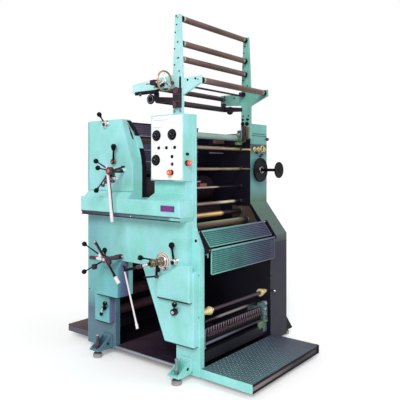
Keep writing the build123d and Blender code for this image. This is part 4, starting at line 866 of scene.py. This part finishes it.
# A thin mauve rod along the dark bar: a painted highlight line.
lever.rod(start + way * 0.03 - X * 0.01, end - way * 0.08 - X * 0.01, 0.0026, MAUVE_EDGE)
lever.lathe(start - way * 0.004, way, mm(0, 9, 2, 12.5, 18, 12.5, 20, 11), STEEL)
lever.lathe(end - way * 0.062, way, mm(0, 11, 4, 14.5, 56, 14.5, 62, 10), WHITE_SHEEN)
for out, y, z in ((0.176, 0.257, 0.093), (0.18, 0.011, 0.068), (0.176, 0.26, -0.128)):
    lever.knobbed((out, 0, 0), (out, y, z))
lever.rod((0.18, 0.02, 0), (0.18, 0.18, -0.004), 0.012, WHITE_SHEEN)
lever.rod((0.18, 0.095, -0.002), (0.18, 0.18, -0.004), 0.0145, CLAMP, 24, 0.004)
lever.clamp(0.168, 0.13, -0.072, 0.022, 0.026, DARK)
lever.clamp(0.164, 0.052, 0.03, 0.017, 0.03, WHITE_SHEEN)
lever.clamp(0.164, -0.034, -0.02, 0.02, 0.03)
lever.tipped((0.184, 0, 0), (0.184, -0.19, 0.042), 0.01, 0.0115, Vector((0, 0.03, -0.007)), 0.01, GREY_EDGE, CLAMP)
lever.own("chrome_fittings")

# Ratchet lever: barrel, arm, fork, rod and its small levers
lever = Lever("ratchet_lever", "operator_panel", 0.06, 0.022, STEEL)
lever.turn(0, -1, mm(0, 22, 4, 24, 18, 24, 22, 19, 40, 19, 44, 26, 70, 26, 74, 21, 96, 21, 100, 27, 132, 27, 136, 22,
                     146, 18, 146, 0), BARREL, 32)
for out in (0.046, 0.062, 0.102, 0.124):
    lever.ring((out, 0, 0), X, 0.0265, 0.0014, BRASS, 32, 8)
lever.turn(0.146, -1, mm(0, 13, 4, 12, 4, 0), BLACK, 6)
start, end, way = lever.bar((0.13, 0, 0), (0.13, 0.281, -0.085), 0.011, PITCH, 24, 0.003)
lever.rod(start + way * 0.095, start + way * 0.15, 0.016, CLAMP, 24, 0.004)
lever.rod(start + way * 0.03, start + way * 0.085, 0.0125, CHROME, 24, 0.003)
for side in (-1, 1):
    lever.rod(end - way * 0.01, end + way * 0.004 + Z * 0.036 + Y * 0.01 * side, 0.0055, BLACK)
start, end, way = lever.bar((0.13, 0.281, -0.079), (0.13, 0.14, -0.495), 0.0065, WHITE_SHEEN, 20, 0.002)
lever.lathe(end - way * 0.075, way, mm(0, 6.6, 30, 7.5, 40, 10, 72, 10, 76, 7), WHITE_SHEEN)
lever.knobbed((0.05, 0.012, 0.009), (0.185, 0.056, 0.043))
lever.knobbed((0.07, 0, 0), (0.07, -0.011, -0.053), 0.006, 0.014)
lever.rod((0.07, 0, 0), (0.07, 0.006, -0.102), 0.009, BLACK)
lever.ball((0.07, 0.006, -0.102), 0.015, CLAMP, 1.3, X)
lever.rod((0.07, 0.006, -0.102), (0.19, 0.01, -0.09), 0.006, PITCH)
lever.rod((0.176, 0.0095, -0.0914), (0.19, 0.01, -0.09), 0.0075, BLACK)
lever.own("chrome_fittings")

lever = Lever("side_lever", "operator_panel")
lever.turn(0, -1, mm(0, 26, 3, 26, 3, 10), CHROME)
lever.hub(0.003, 0.022, 0.034, CHROME)
lever.ball((0.036, 0, -0.006), 0.016, BLACK, 0.7, X)
lever.knobbed((0.024, 0, 0), (0.05, -0.004, 0.122), 0.008, 0.019)
lever.own("chrome_fittings")

lever = Lever("low_lever", "front_leg_lower_cover")
lever.hub(0.003, 0.024, 0.034, DARK)
lever.knobbed((0.024, 0, 0), (0.074, -0.052, 0.074), 0.007, 0.017)
lever.own("chrome_fittings")

lever = Lever("rear_leg_lever", "rear_leg_lower_cover")
lever.hub(0.003, 0.016, 0.034, BLACK)
lever.knobbed((0.024, 0, 0), (0.05, -0.049, 0.054), 0.009, 0.017)
lever.rod((0.034, 0, 0.01), (0.034, 0.01, -0.03), 0.007, CHROME)
lever.ball((0.034, 0.016, -0.044), 0.014, BLACK, 1.2)
lever.own("chrome_fittings")

# Flange round the ratchet barrel
flange_low, flange_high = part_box("hub_flange")
radius, depth = (flange_high.z - flange_low.z) / 2, flange_high.x - flange_low.x
middle = (flange_low + flange_high) / 2
flange = Piece("hub_flange", (flange_high.x, middle.y, middle.z), -1)
flange.lathe((0, 0, 0), -X, [
    (0, 0.0225), (0, radius), (0.006, radius), (0.01, radius - 0.006), (0.012, 0.056), (0.014, 0.05),
    (0.016, 0.047), (depth - 0.004, 0.046), (depth, 0.041), (depth, 0.03), (depth - 0.004, 0.0225),
], CHROME, 56, closed=True)
flange.ring((0.01, 0, 0), X, radius - 0.008, 0.0022, BARREL, 56, 8)
flange.ring((0.0155, 0, 0), X, 0.0475, 0.0018, GOLD, 56, 8)
flange.ring((depth - 0.004, 0, 0), X, 0.0335, 0.003, GOLD, 48, 8)
for i in range(6):
    turn = math.radians(60 * i + 20)
    flange.screw((0.0105, math.cos(turn) * 0.057, math.sin(turn) * 0.057), -X, 0.0045, STEEL, 0.003)
flange.done(PRESS, "chrome_fittings", "hub_flange")

# Control face: dials, buttons, marks and corner screws. Places count out from the face and from its top rear corner
box_front, box_rear, box_top = low("control_box").y, high("control_box").y, high("control_box").z
panel = Piece("panel_instruments", (low("control_face").x, box_rear, box_top), -1)
for y, z in mm(-60, -149, -212, -146, -54, -329):
    panel.lathe((0, y, z), -X, mm(0, 40, 3, 40, 5, 36, 12, 35, 15, 31, 13.5, 28, 13.5, 0), BLACK, 48)
    for i in range(11):
        turn = math.radians(-60 + 30 * i)
        ends = [(0.0137, y + math.cos(turn) * reach, z + math.sin(turn) * reach) for reach in (0.0215, 0.026)]
        panel.rod(*ends, 0.0006, GREY_MARK, 6, 0.0001)
    panel.rod((0.0145, y, z), (0.0145, y + 0.01, z + 0.012), 0.0009, GREY_EDGE, 8, 0.0002)
    panel.lathe((0.0135, y, z), -X, mm(0, 6, 1.5, 5, 1.5, 0), DARK, 16)
for y, z, cap in ((-0.083, -0.24, BLACK), (-0.159, -0.24, BLACK), (-0.238, -0.239, BLACK), (-0.213, -0.304, BLACK),
                  (-0.214, -0.358, MAGENTA)):
    panel.lathe((0, y, z), -X, mm(0, 12, 3, 12, 4, 10.5, 4, 8), BLACK, 24)
    panel.lathe((0.003, y, z), -X, mm(0, 9, 6, 9, 7, 7, 7, 0), cap, 24)
for y in (-0.052, -0.126, -0.206):
    panel.box((0.0004, y - 0.002, -0.249), (0, y + 0.002, -0.231), GREY_MARK)
for z, width in mm(-40, 150, -90, 90):
    panel.box((0.0004, -0.02 - width, z), (0, -0.02, z + 0.003), GREY_MARK)
for y in (-0.018, -0.298):
    for z in (-0.018, -0.462):
        panel.screw((0, y, z), -X, 0.004, STEEL)
side_x = FRAME_X - 0.062
panel.lathe(Vector((side_x, box_front, box_top - 0.287)), -Y, mm(0, 11, 4, 11, 6, 9, 16, 8, 16, 0), BLACK, 24)
stop_places = [(panel.at((0, -0.206, -0.419)), -X), (Vector((side_x, box_front, box_top - 0.351)), -Y)]
panel.done(PRESS, "black_plastic", "panel_instruments")

stops = Piece("emergency_stops")
for place, axis in stop_places:
    for along, profile, material, segments in (
        (0, mm(0, 20, 4, 20, 6, 17, 6, 10), BLACK, 28),
        (0.005, mm(0, 11, 16, 11), RED, 28),
        (0.019, mm(0, 11, 2, 20, 6, 22, 13, 20, 15.5, 15, 16, 10), RED, 36),
        (0.0345, mm(0, 9, 1.2, 8, 1.2, 0), PALE_RED, 28),
    ):
        stops.lathe(place + axis * along, axis, profile, material, segments)
stops.done(PRESS, "red_button", "emergency_stops")

# Seams and screws of the covers, with painted shadow lines under the control face, the shelf trim and the leg covers
seams = Piece("cover_seams")
face_x = low("control_face").x
# A blue-dark strip along the bottom of the control face: painted shadow under the control box.
seams.box((face_x - 0.001, box_front - 0.0005, box_top - 0.482), (face_x + 0.004, box_rear, box_top - 0.474), TRIM)
trim_low, trim_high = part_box("shelf_trim")
# A black strip along the bottom of the shelf trim: painted shadow under the shelf.
seams.box((trim_low.x - 0.003, trim_low.y, trim_low.z), (trim_low.x, trim_high.y, trim_low.z + 0.006), PITCH)
seams.box((trim_low.x - 0.0035, trim_low.y, trim_high.z - 0.004), (trim_low.x, trim_high.y, trim_high.z), DARK)
seams.ball((trim_low.x - 0.001, -0.02, 1.17), 0.0055, WHITE_SHEEN, 0.5, X)
for y, z in mm(-495, 1217, -532, 1014, -552, 770, -552, 470):
    seams.screw((FRAME_X, y, z), -X, 0.011, PITCH, 0.002)
for y, z in mm(-552, 620, -552, 330, 640, 1700, 640, 1300, 640, 900, 640, 500):
    seams.screw((FRAME_X, y, z), -X, 0.006, DARK, 0.0015)
# A thin black strip under each cover's bottom edge: a painted shadow line.
for cover in ("front_leg_upper_cover", "front_leg_lower_cover", "rear_leg_lower_cover", "rear_leg_upper_cover"):
    corner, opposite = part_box(cover)
    far_y = -0.283 if cover == "front_leg_lower_cover" else opposite.y
    seams.box((corner.x + 0.003, corner.y + 0.004, corner.z - 0.006), (FRAME_X, far_y - 0.004, corner.z), PITCH)
seams.done(PRESS, "black_plastic")

# Tower cover: its sloping side runs back to the frame's long curve, with a slit and a light strip along it
tower_low, tower_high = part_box("rear_tower_cover")
SLOPE_FOOT, SLOPE_HEAD = 1.563, 0.135
ARC_RADIUS, ARC_FOOT = 0.5786, 1.5
tower_out = tower_low.x
COVER_ROUND = 0.01


def slope_y(z):
    return tower_low.y + (SLOPE_HEAD - tower_low.y) * (z - SLOPE_FOOT) / (tower_high.z - SLOPE_FOOT)


def curve_y(z):
    return tower_low.y + ARC_RADIUS - math.sqrt(ARC_RADIUS ** 2 - (z - ARC_FOOT) ** 2)


def side_y(x, z):
    """How far back the tower's sloping side is at one place."""
    part = (x - tower_out) / (FRAME_X - tower_out)
    return slope_y(z) * (1 - part) + max(slope_y(z), curve_y(z)) * part


SLOPE_STEPS = 10
slope_heights = [SLOPE_FOOT + (tower_high.z - SLOPE_FOOT) * i / SLOPE_STEPS for i in range(SLOPE_STEPS + 1)]
rest = [(tower_high.y, tower_high.z), (tower_high.y, tower_low.z), (tower_low.y, tower_low.z)]
tower = Piece("rear_tower_cover")
outer_loop, inner_loop = [
    [tower.mesh.verts.new((x, y, z)) for y, z in [(side_y(x, z), z) for z in slope_heights] + rest]
    for x in (tower_out, FRAME_X)
]
tower.face(outer_loop, TEAL)
tower.face(inner_loop[::-1], TEAL)
for i in range(len(outer_loop)):
    j = (i + 1) % len(outer_loop)
    tower.face([outer_loop[j], outer_loop[i], inner_loop[i], inner_loop[j]], TEAL)
outer_edges = [edge for edge in tower.mesh.edges if all(vert in outer_loop for vert in edge.verts)]
bmesh.ops.bevel(tower.mesh, geom=outer_edges, offset=COVER_ROUND, segments=3, profile=0.5, affect="EDGES",
                clamp_overlap=True, material=0)
tower.done(PRESS, "teal_paint", "rear_tower_cover")


def slope_strip(piece, places, material, lift):
    """A thin strip on the sloping side, through (x, z, half width) places."""
    finer = []
    for first, last in zip(places, places[1:]):
        finer += [[a + (b - a) * i / 5 for a, b in zip(first, last)] for i in range(5)]
    finer.append(places[-1])
    for (x0, z0, w0), (x1, z1, w1) in zip(finer, finer[1:]):
        corners = [(x0 - w0, z0), (x0 + w0, z0), (x1 + w1, z1), (x1 - w1, z1)]
        outline = [(x, side_y(x, z) - lift, z) for x, z in corners]
        piece.prism(outline, Y * (lift + 0.002), material)


slit = Piece("tower_slit")
slope_strip(slit, [(-0.589, 1.872, 0.0015), (-0.594, 1.846, 0.004), (-0.6, 1.805, 0.008), (-0.594, 1.762, 0.006)],
            PITCH, 0.004)
slope_strip(slit, [(-0.596, 1.892, 0.003), (-0.584, 1.868, 0.005), (-0.573, 1.836, 0.006), (-0.57, 1.8, 0.004)],
            GREY_EDGE, 0.005)
slope_strip(slit, [(-0.588, 1.886, 0.002), (-0.576, 1.862, 0.003), (-0.567, 1.83, 0.003)], DARK, 0.006)
# Near black linings on the frame's curved edge and below it: painted shade in place of the frame's edge faces.
for first, last in mm(1500, 1690, 1790, 1916):
    heights = [first + (last - first) * i / 6 for i in range(7)]
    lining = [(curve_y(z) - 0.0015, z) for z in heights] + [(curve_y(z) + 0.003, z) for z in heights[::-1]]
    slit.side(lining, FRAME_X + 0.001, INNER_LEFT, BACKING)
slit.box((FRAME_X + 0.001, tower_low.y - 0.0015, 1.303), (INNER_LEFT, tower_low.y + 0.003, 1.5), BACKING)
slit.done(PRESS, "black_plastic")

# Upper cover of the rear leg, with its sloping head
cover_low, cover_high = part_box("rear_leg_upper_cover")
HEAD_DROP, HEAD_BACK = 0.065, 0.05
leg_cover = Piece("rear_leg_upper_cover")
leg_cover.prism([
    (cover_low.x, cover_low.y, cover_low.z), (cover_low.x, cover_low.y, cover_high.z - HEAD_DROP),
    (cover_low.x + HEAD_BACK, cover_low.y, cover_high.z), (FRAME_X, cover_low.y, cover_high.z),
    (FRAME_X, cover_low.y, cover_low.z),
], Y * (cover_high.y - cover_low.y), TEAL_REAR)
bmesh.ops.bevel(leg_cover.mesh, geom=leg_cover.mesh.edges[:], offset=0.006, segments=3, profile=0.5, affect="EDGES",
                clamp_overlap=True, material=0)
leg_cover.done(PRESS, "teal_paint", "rear_leg_upper_cover")

# Details of the drive side housing, whose front places count from its upper front face
housing = Piece("housing_fittings", (0, HOUSING_FRONT, 0))
for y, z in ((0, 1.82), (0, 1.74), (FRONT - HOUSING_FRONT, 0.883)):
    housing.box((INNER_RIGHT, y - 0.0012, z - 0.002), (OUTER_RIGHT - 0.004, y, z + 0.002), PITCH)
for x in (0.466, 0.532, 0.628):
    housing.lathe((x, 0, 1.7), -Y, mm(0, 17, 6, 17, 8, 13, 20, 12, 20, 6, 12, 6), BRASS, 24)
    housing.ring((x, -0.006, 1.7), Y, 0.018, 0.003, PALE_BRASS, 28, 8)
housing.ring((0.6, -0.004, 1.708), Y, 0.026, 0.004, PALE_BRASS, 36, 8)
housing.rod((INNER_RIGHT - 0.008, 0.088, 1.698), (INNER_RIGHT - 0.008, -0.004, 1.694), 0.008, PALE_BRASS)
housing.rod((INNER_RIGHT - 0.008, 0.09, 1.525), (INNER_RIGHT - 0.008, -0.004, 1.523), 0.008, BAR_STEEL)
for x, z in mm(500, 1668, 585, 1655, 560, 1640):
    housing.rod((x, 0, z), (x, -0.022, z), 0.009, DARK_TUBE)
housing.rod((OUTER_RIGHT - 0.014, 0, 1.795), (OUTER_RIGHT - 0.014, -0.01, 1.795), 0.01, DARK)
housing.ball((OUTER_RIGHT - 0.014, -0.014, 1.795), 0.015, DARK_RED)
housing.box((INNER_RIGHT + 0.04, -0.0015, 1.835), (OUTER_RIGHT - 0.03, 0, 1.84), DARK)
housing.origin = (0.422, FRONT, 0.481)
housing.rod((0, 0, 0), (0, -0.026, 0), 0.007, DARK)
housing.ball((0, -0.028, 0), 0.009, CHROME)
housing.origin = (OUTER_RIGHT, 0, 0)
for front_y, heights in ((-0.5, (0.12, 0.52, 0.9)), (-0.31, (1.3, 1.56, 1.8))):
    for y in (front_y, 0.045, 0.59):
        for z in heights:
            housing.bolt((0, y, z), X, 0.008, DARK)
for z in (0.94, 1.25):
    housing.box((0, -0.34, z - 0.002), (0.001, BACK - 0.006, z + 0.002), PITCH)
for z in (0.3, 0.34, 0.38, 0.42):
    housing.box((0, 0.25, z), (0.006, 0.48, z + 0.008), TEAL_DEEP, 0.002)
    housing.box((0, 0.254, z + 0.008), (0.002, 0.476, z + 0.022), PITCH)
housing.done(PRESS, "teal_paint")

# Casting on the top tie's right end, with the bar ends beside it
casting = Piece("tie_castings", (INNER_RIGHT, -0.258, 1.797))
casting.turn(0, -1, mm(0, 52, 10, 50, 22, 42, 60, 31, 85, 27), GREEN_CAST, 32)
casting.box((-0.04, -0.05, 0.024), (0, 0.012, 0.07), GREEN_CAST, 0.006)
casting.box((-0.07, -0.04, 0.02), (-0.045, 0, 0.045), GREY_EDGE, 0.006)
casting.box((-0.08, -0.03, -0.062), (-0.01, 0.01, -0.036), GREEN_CAST, 0.006)
casting.bolt((-0.058, -0.02, 0.045), Z, 0.009, DARK)
casting.bolt((-0.02, -0.03, 0.07), Z, 0.009, DARK)
BAR_Y = -0.262
bars = Piece("fixed_bars")
for y, z, radius, material in (
    (BAR_Y, 1.699, 0.014, BAR_STEEL), (BAR_Y, 1.525, 0.012, BAR_STEEL), (BAR_Y, 1.374, 0.008, LOWER_BAR),
    (-0.45, 0.372, 0.011, FOUNTAIN_BAR), (-0.52, 0.238, 0.01, TOE_BAR),
):
    bars.rod((INNER_LEFT, y, z), (INNER_RIGHT, y, z), radius, material, 28)
    for edge, inward in ((INNER_LEFT, 1), (INNER_RIGHT, -1)):
        bars.lathe((edge, y, z), X * inward, [(0, radius * 1.5), (0.004, radius * 1.5), (0.006, radius)], DARK, 24)
        if material == BAR_STEEL:
            casting.lathe(Vector((edge, y, z)), X * inward, [
                (0, radius * 1.7), (0.01, radius * 1.7), (0.012, radius * 1.3), (0.026, radius * 1.3),
                (0.028, radius * 1.02),
            ], DARK)
bars.done(PRESS, "bright_steel", "fixed_bars")
casting.done(PRESS, "teal_paint")

# Things that show dimly inside: plates, a block and bars behind the front opening
inside = Piece("inner_fittings")
for corner, opposite, material, chamfer in (
    ((INNER_LEFT, 0.1, 1.73), (-0.18, 0.112, 1.775), COVERING, 0.002),
    ((-0.23, 0.098, 1.735), (-0.195, 0.1, 1.77), COPPER, 0.001),
    ((INNER_LEFT, 0.15, 1.64), (-0.15, 0.153, 1.646), DARK_TUBE, 0.001),
    ((0.207, -0.104, 1.75), (0.372, -0.1, 1.78), BROWN_PLATE, 0.001),
    ((0.149, -0.104, 1.662), (0.356, -0.1, 1.668), SCREEN_LINE, 0.001),
    ((0.149, -0.1005, 1.655), (INNER_RIGHT, -0.092, 1.785), PITCH, 0),
    ((-0.182, -0.264, 1.376), (-0.092, -0.24, 1.408), RED_BROWN, 0.003),
):
    inside.box(corner, opposite, material, chamfer)
inside.rod((INNER_LEFT, -0.24, 1.418), (-0.15, -0.24, 1.424), 0.006, STEEL)
inside.side(mm(-170, 1195, -354, 1195, -470, 1000, -170, 1000), INNER_RIGHT - 0.0015, INNER_RIGHT, OLIVE_PLATE)
inside.lathe((0.3, -0.25, 1.144), X, mm(0, 20, 4, 24, 22, 24, 26, 14), BROWN_PLATE)
inside.lathe((0.326, -0.25, 1.144), X, mm(0, 12, 81, 12), DARK_TUBE, 20)
inside.done(PRESS, "black_iron")

# Cylinders and rollers between the frames: ground face, bearers or collars at the ends, and journals
for node, face, ends, bearer, rise in (
    ("plate_cylinder", RUBBER, RUBBER, 0.035, 0.001), ("blanket_cylinder", RUBBER, RUBBER, 0.035, 0.001),
    ("impression_cylinder", RUBBER, RUBBER, 0.035, 0.001), ("upper_guide_roller", UPPER_FACE, STEEL, 0.012, 0),
    ("middle_guide_roller", MIDDLE_FACE, STEEL, 0.014, 0), ("lower_guide_roller", LOWER_FACE, STEEL, 0.014, 0),
    ("delivery_roller_upper", ROLLER_DIM, DARK_TUBE, 0.02, 0.001),
    ("delivery_roller_lower", ROLLER_DIM, DARK_TUBE, 0.02, 0.001),
):
    piece, left, right, radius = axle(node)
    start, end = INNER_LEFT + 0.006, INNER_RIGHT - 0.006
    piece.shaft(start + bearer, end - bearer, radius - rise, face, 64, 0.002)
    piece.ends(start, end, [(0, 0), (0, radius * 0.96), (0.002, radius), (bearer - 0.002, radius),
                            (bearer, radius * 0.96), (bearer, 0)], ends, 64)
    piece.shaft(left, right, 0.03 if radius > 0.1 else 0.01, STEEL)
    piece.own("bright_steel")

cones, left, right, _ = axle("cone_roller")
cones.shaft(left, right, 0.01, STEEL)
cones.shaft(INNER_LEFT + 0.008, INNER_RIGHT - 0.008, 0.0138, DARK_TUBE, 28, 0.003)
cones.ends(INNER_LEFT + 0.026, INNER_RIGHT - 0.026, mm(0, 12, 0, 14.5, 78, 30, 82, 32, 88, 32, 90, 30, 90, 14),
           PALE_BRASS, 36)
cones.ring((INNER_LEFT + 0.14, 0, 0), X, 0.016, 0.004, CHROME, 32, 8)
cones.own("brass_fittings")

# Ink fountain: trough, blade, keys with their heads, and teeth
ink_low, ink_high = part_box("ink_fountain")
KEYS = 24
key_pitch = (ink_high.x - ink_low.x) / (KEYS + 1)
fountain = Piece("ink_fountain", (ink_low.x, -0.505, 0))
trough = mm(0, 238, 0, 345, 12, 345, 12, 254, 120, 296, 120, 284)
fountain.side(trough, 0, ink_high.x - ink_low.x, PITCH)
fountain.box((0, -0.004, 0.33), (ink_high.x - ink_low.x, 0, 0.345), DARK_TUBE, 0.001)
for i in range(KEYS):
    x = key_pitch * (i + 1)
    fountain.thread((x, 0, 0.3), (x, -0.03, 0.3), 0.007, DARK_TUBE, 0.005, 10)
    fountain.lathe((x, -0.03, 0.3), -Y, mm(0, 7, 1, 10, 8, 10, 10, 8, 10, 0), DARK_TUBE, 10)
    fountain.box((x - 0.0022, -0.01, 0.31), (x + 0.0022, -0.004, 0.345), MAUVE_EDGE, 0.0008)
fountain.done(PRESS, "black_iron", "ink_fountain")

castings = Piece("fountain_castings")
for end_x, inward in ((INNER_LEFT, 1), (INNER_RIGHT, -1)):
    castings.origin, castings.out = (end_x, 0, 0), inward
    castings.lathe((0.06, -0.47, 0.3), X * inward, mm(0, 30, 4, 32, 8, 28, 8, 18, 3, 16, 3, 0), INK_GREY, 32)
    castings.lathe((0.03, -0.5349, 0.281), -Y, mm(0, 22, 4, 22, 6, 18, 6, 10, 3, 8, 3, 0), INK_GREY)
    castings.lathe((0.03, -0.5349, 0.325), -Y, mm(0, 14, 4, 14, 6, 10, 6, 0), GREY_EDGE, 24)
    castings.box((0.004, -0.541, 0.212), (0.056, -0.535, 0.236), GREEN_CAST, 0.003)
    castings.box((0.002, -0.534, 0.352), (0.04, -0.5, 0.392), INK_GREY, 0.006)
    castings.lathe((0.022, -0.534, 0.372), -Y, mm(0, 16, 4, 16, 6, 12, 6, 7, 2, 6, 2, 0), GREY_EDGE, 24)
    castings.rod((0.012, -0.545, 0.224), (0.048, -0.545, 0.224), 0.005, STEEL)
    for z in (0.258, 0.304):
        castings.bolt((0.05, -0.535, z), -Y, 0.005, STEEL)
castings.box((0.13, -0.534, 0.172), (0.04, -0.516, 0.232), GREEN_CAST, 0.006)
castings.box((0.06, -0.532, 0.13), (0.001, -0.514, 0.214), INK_GREY, 0.006)
castings.done(PRESS, "black_iron")


# Boards, each from its lower front left corner
def boarded(node, *boxes):
    """A board's piece, built of (corner, opposite, material, chamfer) boxes."""
    piece = Piece(node, low(node))
    for box in boxes:
        piece.box(*box)
    return piece


long, deep, tall = high("front_footboard") - low("front_footboard")
top = tall - 0.0015
board = boarded(
    "front_footboard",
    ((0.006, 0.004, top - 0.005), (long, deep, top), TREAD, 0.001),
    ((0, 0.001, 0.002), (0.005, deep, top - 0.002), TEAL, 0.001),
    ((0.005, 0.006, 0.004), (long - 0.004, deep - 0.001, top - 0.005), PITCH),
    ((0.004, 0, top - 0.016), (long, 0.02, top - 0.003), PITCH, 0.002),
    ((0.004, 0, 0), (long, 0.02, 0.012), PITCH, 0.002),
    ((0.006, 0.0045, 0.014), (long - 0.04, 0.01, top - 0.024), RECESS, 0.001),
    ((long - 0.026, 0, 0.002), (long, 0.03, top), PITCH, 0.002),
    ((long - 0.005, 0.03, 0.004), (long, deep, top), DARK, 0.001),
)
board.tread((0.012, 0.01), (long - 0.006, deep - 0.004), top, TREAD_MARK, 0.021, 0.002)
board.done(PRESS, "tread_plate", "front_footboard")

long, deep, tall = high("rear_platform") - low("rear_platform")
top = tall - 0.0015
board = boarded(
    "rear_platform",
    ((0, 0, top - 0.006), (long, deep, top), BROWN_BOARD, 0.001),
    ((0.002, 0, top - 0.01), (long - 0.002, deep - 0.002, top - 0.006), PITCH),
    ((0, 0, 0), (long, deep, top - 0.01), PLATFORM_EDGE, 0.002),
)
board.tread((0.006, 0.004), (long - 0.006, deep - 0.006), top, BROWN_BOARD)
board.done(PRESS, "teal_paint", "rear_platform")

long, deep, tall = high("middle_floorboard") - low("middle_floorboard")
top = tall - 0.001
board = boarded(
    "middle_floorboard",
    ((0.014, 0, 0.004), (long, deep, top), BROWN_BOARD),
    ((0, 0, 0.016), (0.014, deep, top + 0.001), GREY_EDGE, 0.001),
    ((0.003, 0, 0), (0.014, deep, 0.016), MAUVE_EDGE, 0.001),
)
board.tread((0.02, 0.004), (long - 0.006, deep - 0.004), top, BROWN_BOARD, 0.026, 0.001)
board.done(PRESS, "floorboard", "middle_floorboard")

# Drip pan between the frames, under the floorboard
pan = Piece("drip_pan")
pan.box((INNER_LEFT, FRONT + 0.03, 0.045), (INNER_RIGHT, BACK - 0.03, 0.048), PITCH)
for y, height in ((FRONT + 0.03, 0.01), (BACK - 0.036, 0.15)):
    pan.box((INNER_LEFT, y, 0.048), (INNER_RIGHT, y + 0.004, 0.048 + height), PITCH, 0.001)
pan.done(PRESS, "black_iron")

# Levelling feet: (x, out, y, paint, stud, nut, bolt, then the heights of head, knee and shoulder)
FOOT_OUT = 0.11
OPERATOR_FOOT, DRIVE_FOOT = (0.166, 0.136, 0.158), (0.248, 0.19, 0.24)
feet = Piece("levelling_feet")
for base_x, out, y, paint, stud, nut, bolt, (head, knee, shoulder) in (
    (FRAME_X, -1, -0.445, TEAL, STUD, GREY_EDGE, TEAL, OPERATOR_FOOT),
    (FRAME_X, -1, 0.405, FOOT_SHADED, DARK_TUBE, GREY_EDGE, FOOT_SHADED, OPERATOR_FOOT),
    (OUTER_RIGHT, 1, -0.49, PITCH, DARK_TUBE, DARK, DARK, DRIVE_FOOT),
    (OUTER_RIGHT, 1, 0.405, PITCH, DARK_TUBE, DARK, DARK, DRIVE_FOOT),
):
    feet.origin, feet.out = (base_x, y, 0), out
    feet.lathe((FOOT_OUT, 0, 0), Z, mm(0, 34, 3, 37, 26, 37, 30, 34, 38, 30, 42, 18), PAD, 40)
    feet.thread((FOOT_OUT, 0, 0.04), (FOOT_OUT, 0, 0.178), 0.012, stud, 0.005)
    feet.rod((FOOT_OUT, 0, 0.172), (FOOT_OUT, 0, 0.182), 0.013, nut)
    for z in (0.044, 0.073, 0.086):
        feet.lathe((FOOT_OUT, 0, z), Z, mm(0, 18, 1, 20, 10, 20, 11, 18), stud, 6)
    feet.box((0, -0.055, 0.058), (0.15, 0.055, 0.072), paint, 0.003)
    feet.box((0, -0.055, 0.058), (0.012, 0.055, head), paint, 0.003)
    for rib in (-0.05, 0.04):
        feet.prism([(0.01, rib, 0.071), (0.14, rib, 0.071), (0.14, rib, 0.08), (0.045, rib, knee),
                    (0.012, rib, shoulder)], Y * 0.01, paint)
    feet.lathe((0.046, -0.0498, 0.1), -Y, mm(0, 12, 1.2, 12, 1.2, 0), PITCH, 20)
    for along, z in ((-0.026, head - 0.02), (0.02, head - 0.02), (0, 0.106)):
        feet.bolt((0.012, along, z), X * out, 0.007, bolt)
feet.done(PRESS, "teal_paint", "levelling_feet")

# Back of the press: seams and screws on the rear screen's frame
rear_face = Piece("rear_fittings")
screen_low, screen_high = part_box("rear_screen")
for z in (0.56, 1.0, 1.44):
    rear_face.box((INNER_LEFT, screen_high.y, z), (INNER_RIGHT, screen_high.y + 0.004, z + 0.02), DARK, 0.001)
for x in (-0.4, -0.05, 0.3):
    for z in (0.18, 0.535, 0.975, 1.415, screen_high.z - 0.03):
        rear_face.bolt((x, screen_high.y, z), Y, 0.006, STEEL)
for x in (FRAME_X + 0.025, INNER_RIGHT + 0.08, OUTER_RIGHT - 0.06):
    for z in (0.15, 0.9, 1.78):
        rear_face.screw((x, BACK, z), Y, 0.008, DARK)
rear_face.done(PRESS, "black_iron")

# Floor, lamps and world
floor_mesh = bpy.data.meshes.new("floor")
floor_mesh.from_pydata([(-30, -30, 0), (30, -30, 0), (30, 30, 0), (-30, 30, 0)], [], [(0, 1, 2, 3)])
floor = bpy.data.objects.new("floor", floor_mesh)
bpy.context.scene.collection.objects.link(floor)
floor_paint = finish("floor", (255, 255, 255), 0.9, vary=0.004, speckle=0.004, gloss=0.1)
floor_tree = floor_paint.node_tree
floor_shader = floor_tree.nodes["Principled BSDF"]
floor_shader.inputs["Emission Color"].default_value = (1, 1, 1, 1)
to_camera = add(floor_tree, "ShaderNodeLightPath").outputs["Is Camera Ray"]
floor_tree.links.new(mapped(floor_tree, to_camera, 0.0, 1.0, 0.0, 0.2), floor_shader.inputs["Emission Strength"])
floor_mesh.materials.append(floor_paint)


def sun(name, towards, strength, angle):
    lamp = bpy.data.lights.new(name, "SUN")
    lamp.energy = strength
    lamp.angle = math.radians(angle)
    made = bpy.data.objects.new(name, lamp)
    made.rotation_euler = Vector(towards).to_track_quat("-Z", "Y").to_euler()
    bpy.context.scene.collection.objects.link(made)


sun("key", (0.75, 0.45, -0.55), 2.2, 25)
sun("fill", (-0.3, 0.9, -0.4), 0.5, 60)
world = bpy.data.worlds.new("world")
bpy.context.scene.world = world
world.use_nodes = True
sky = world.node_tree
rays = add(sky, "ShaderNodeLightPath")
seen = math_node(sky, "MAXIMUM", rays.outputs["Is Camera Ray"], rays.outputs["Is Glossy Ray"])
seen = math_node(sky, "MAXIMUM", seen, rays.outputs["Is Transmission Ray"])
sky.nodes["Background"].inputs["Color"].default_value = (1, 1, 1, 1)
sky.links.new(mapped(sky, seen, 0.0, 1.0, 0.45, 1.0), sky.nodes["Background"].inputs["Strength"])
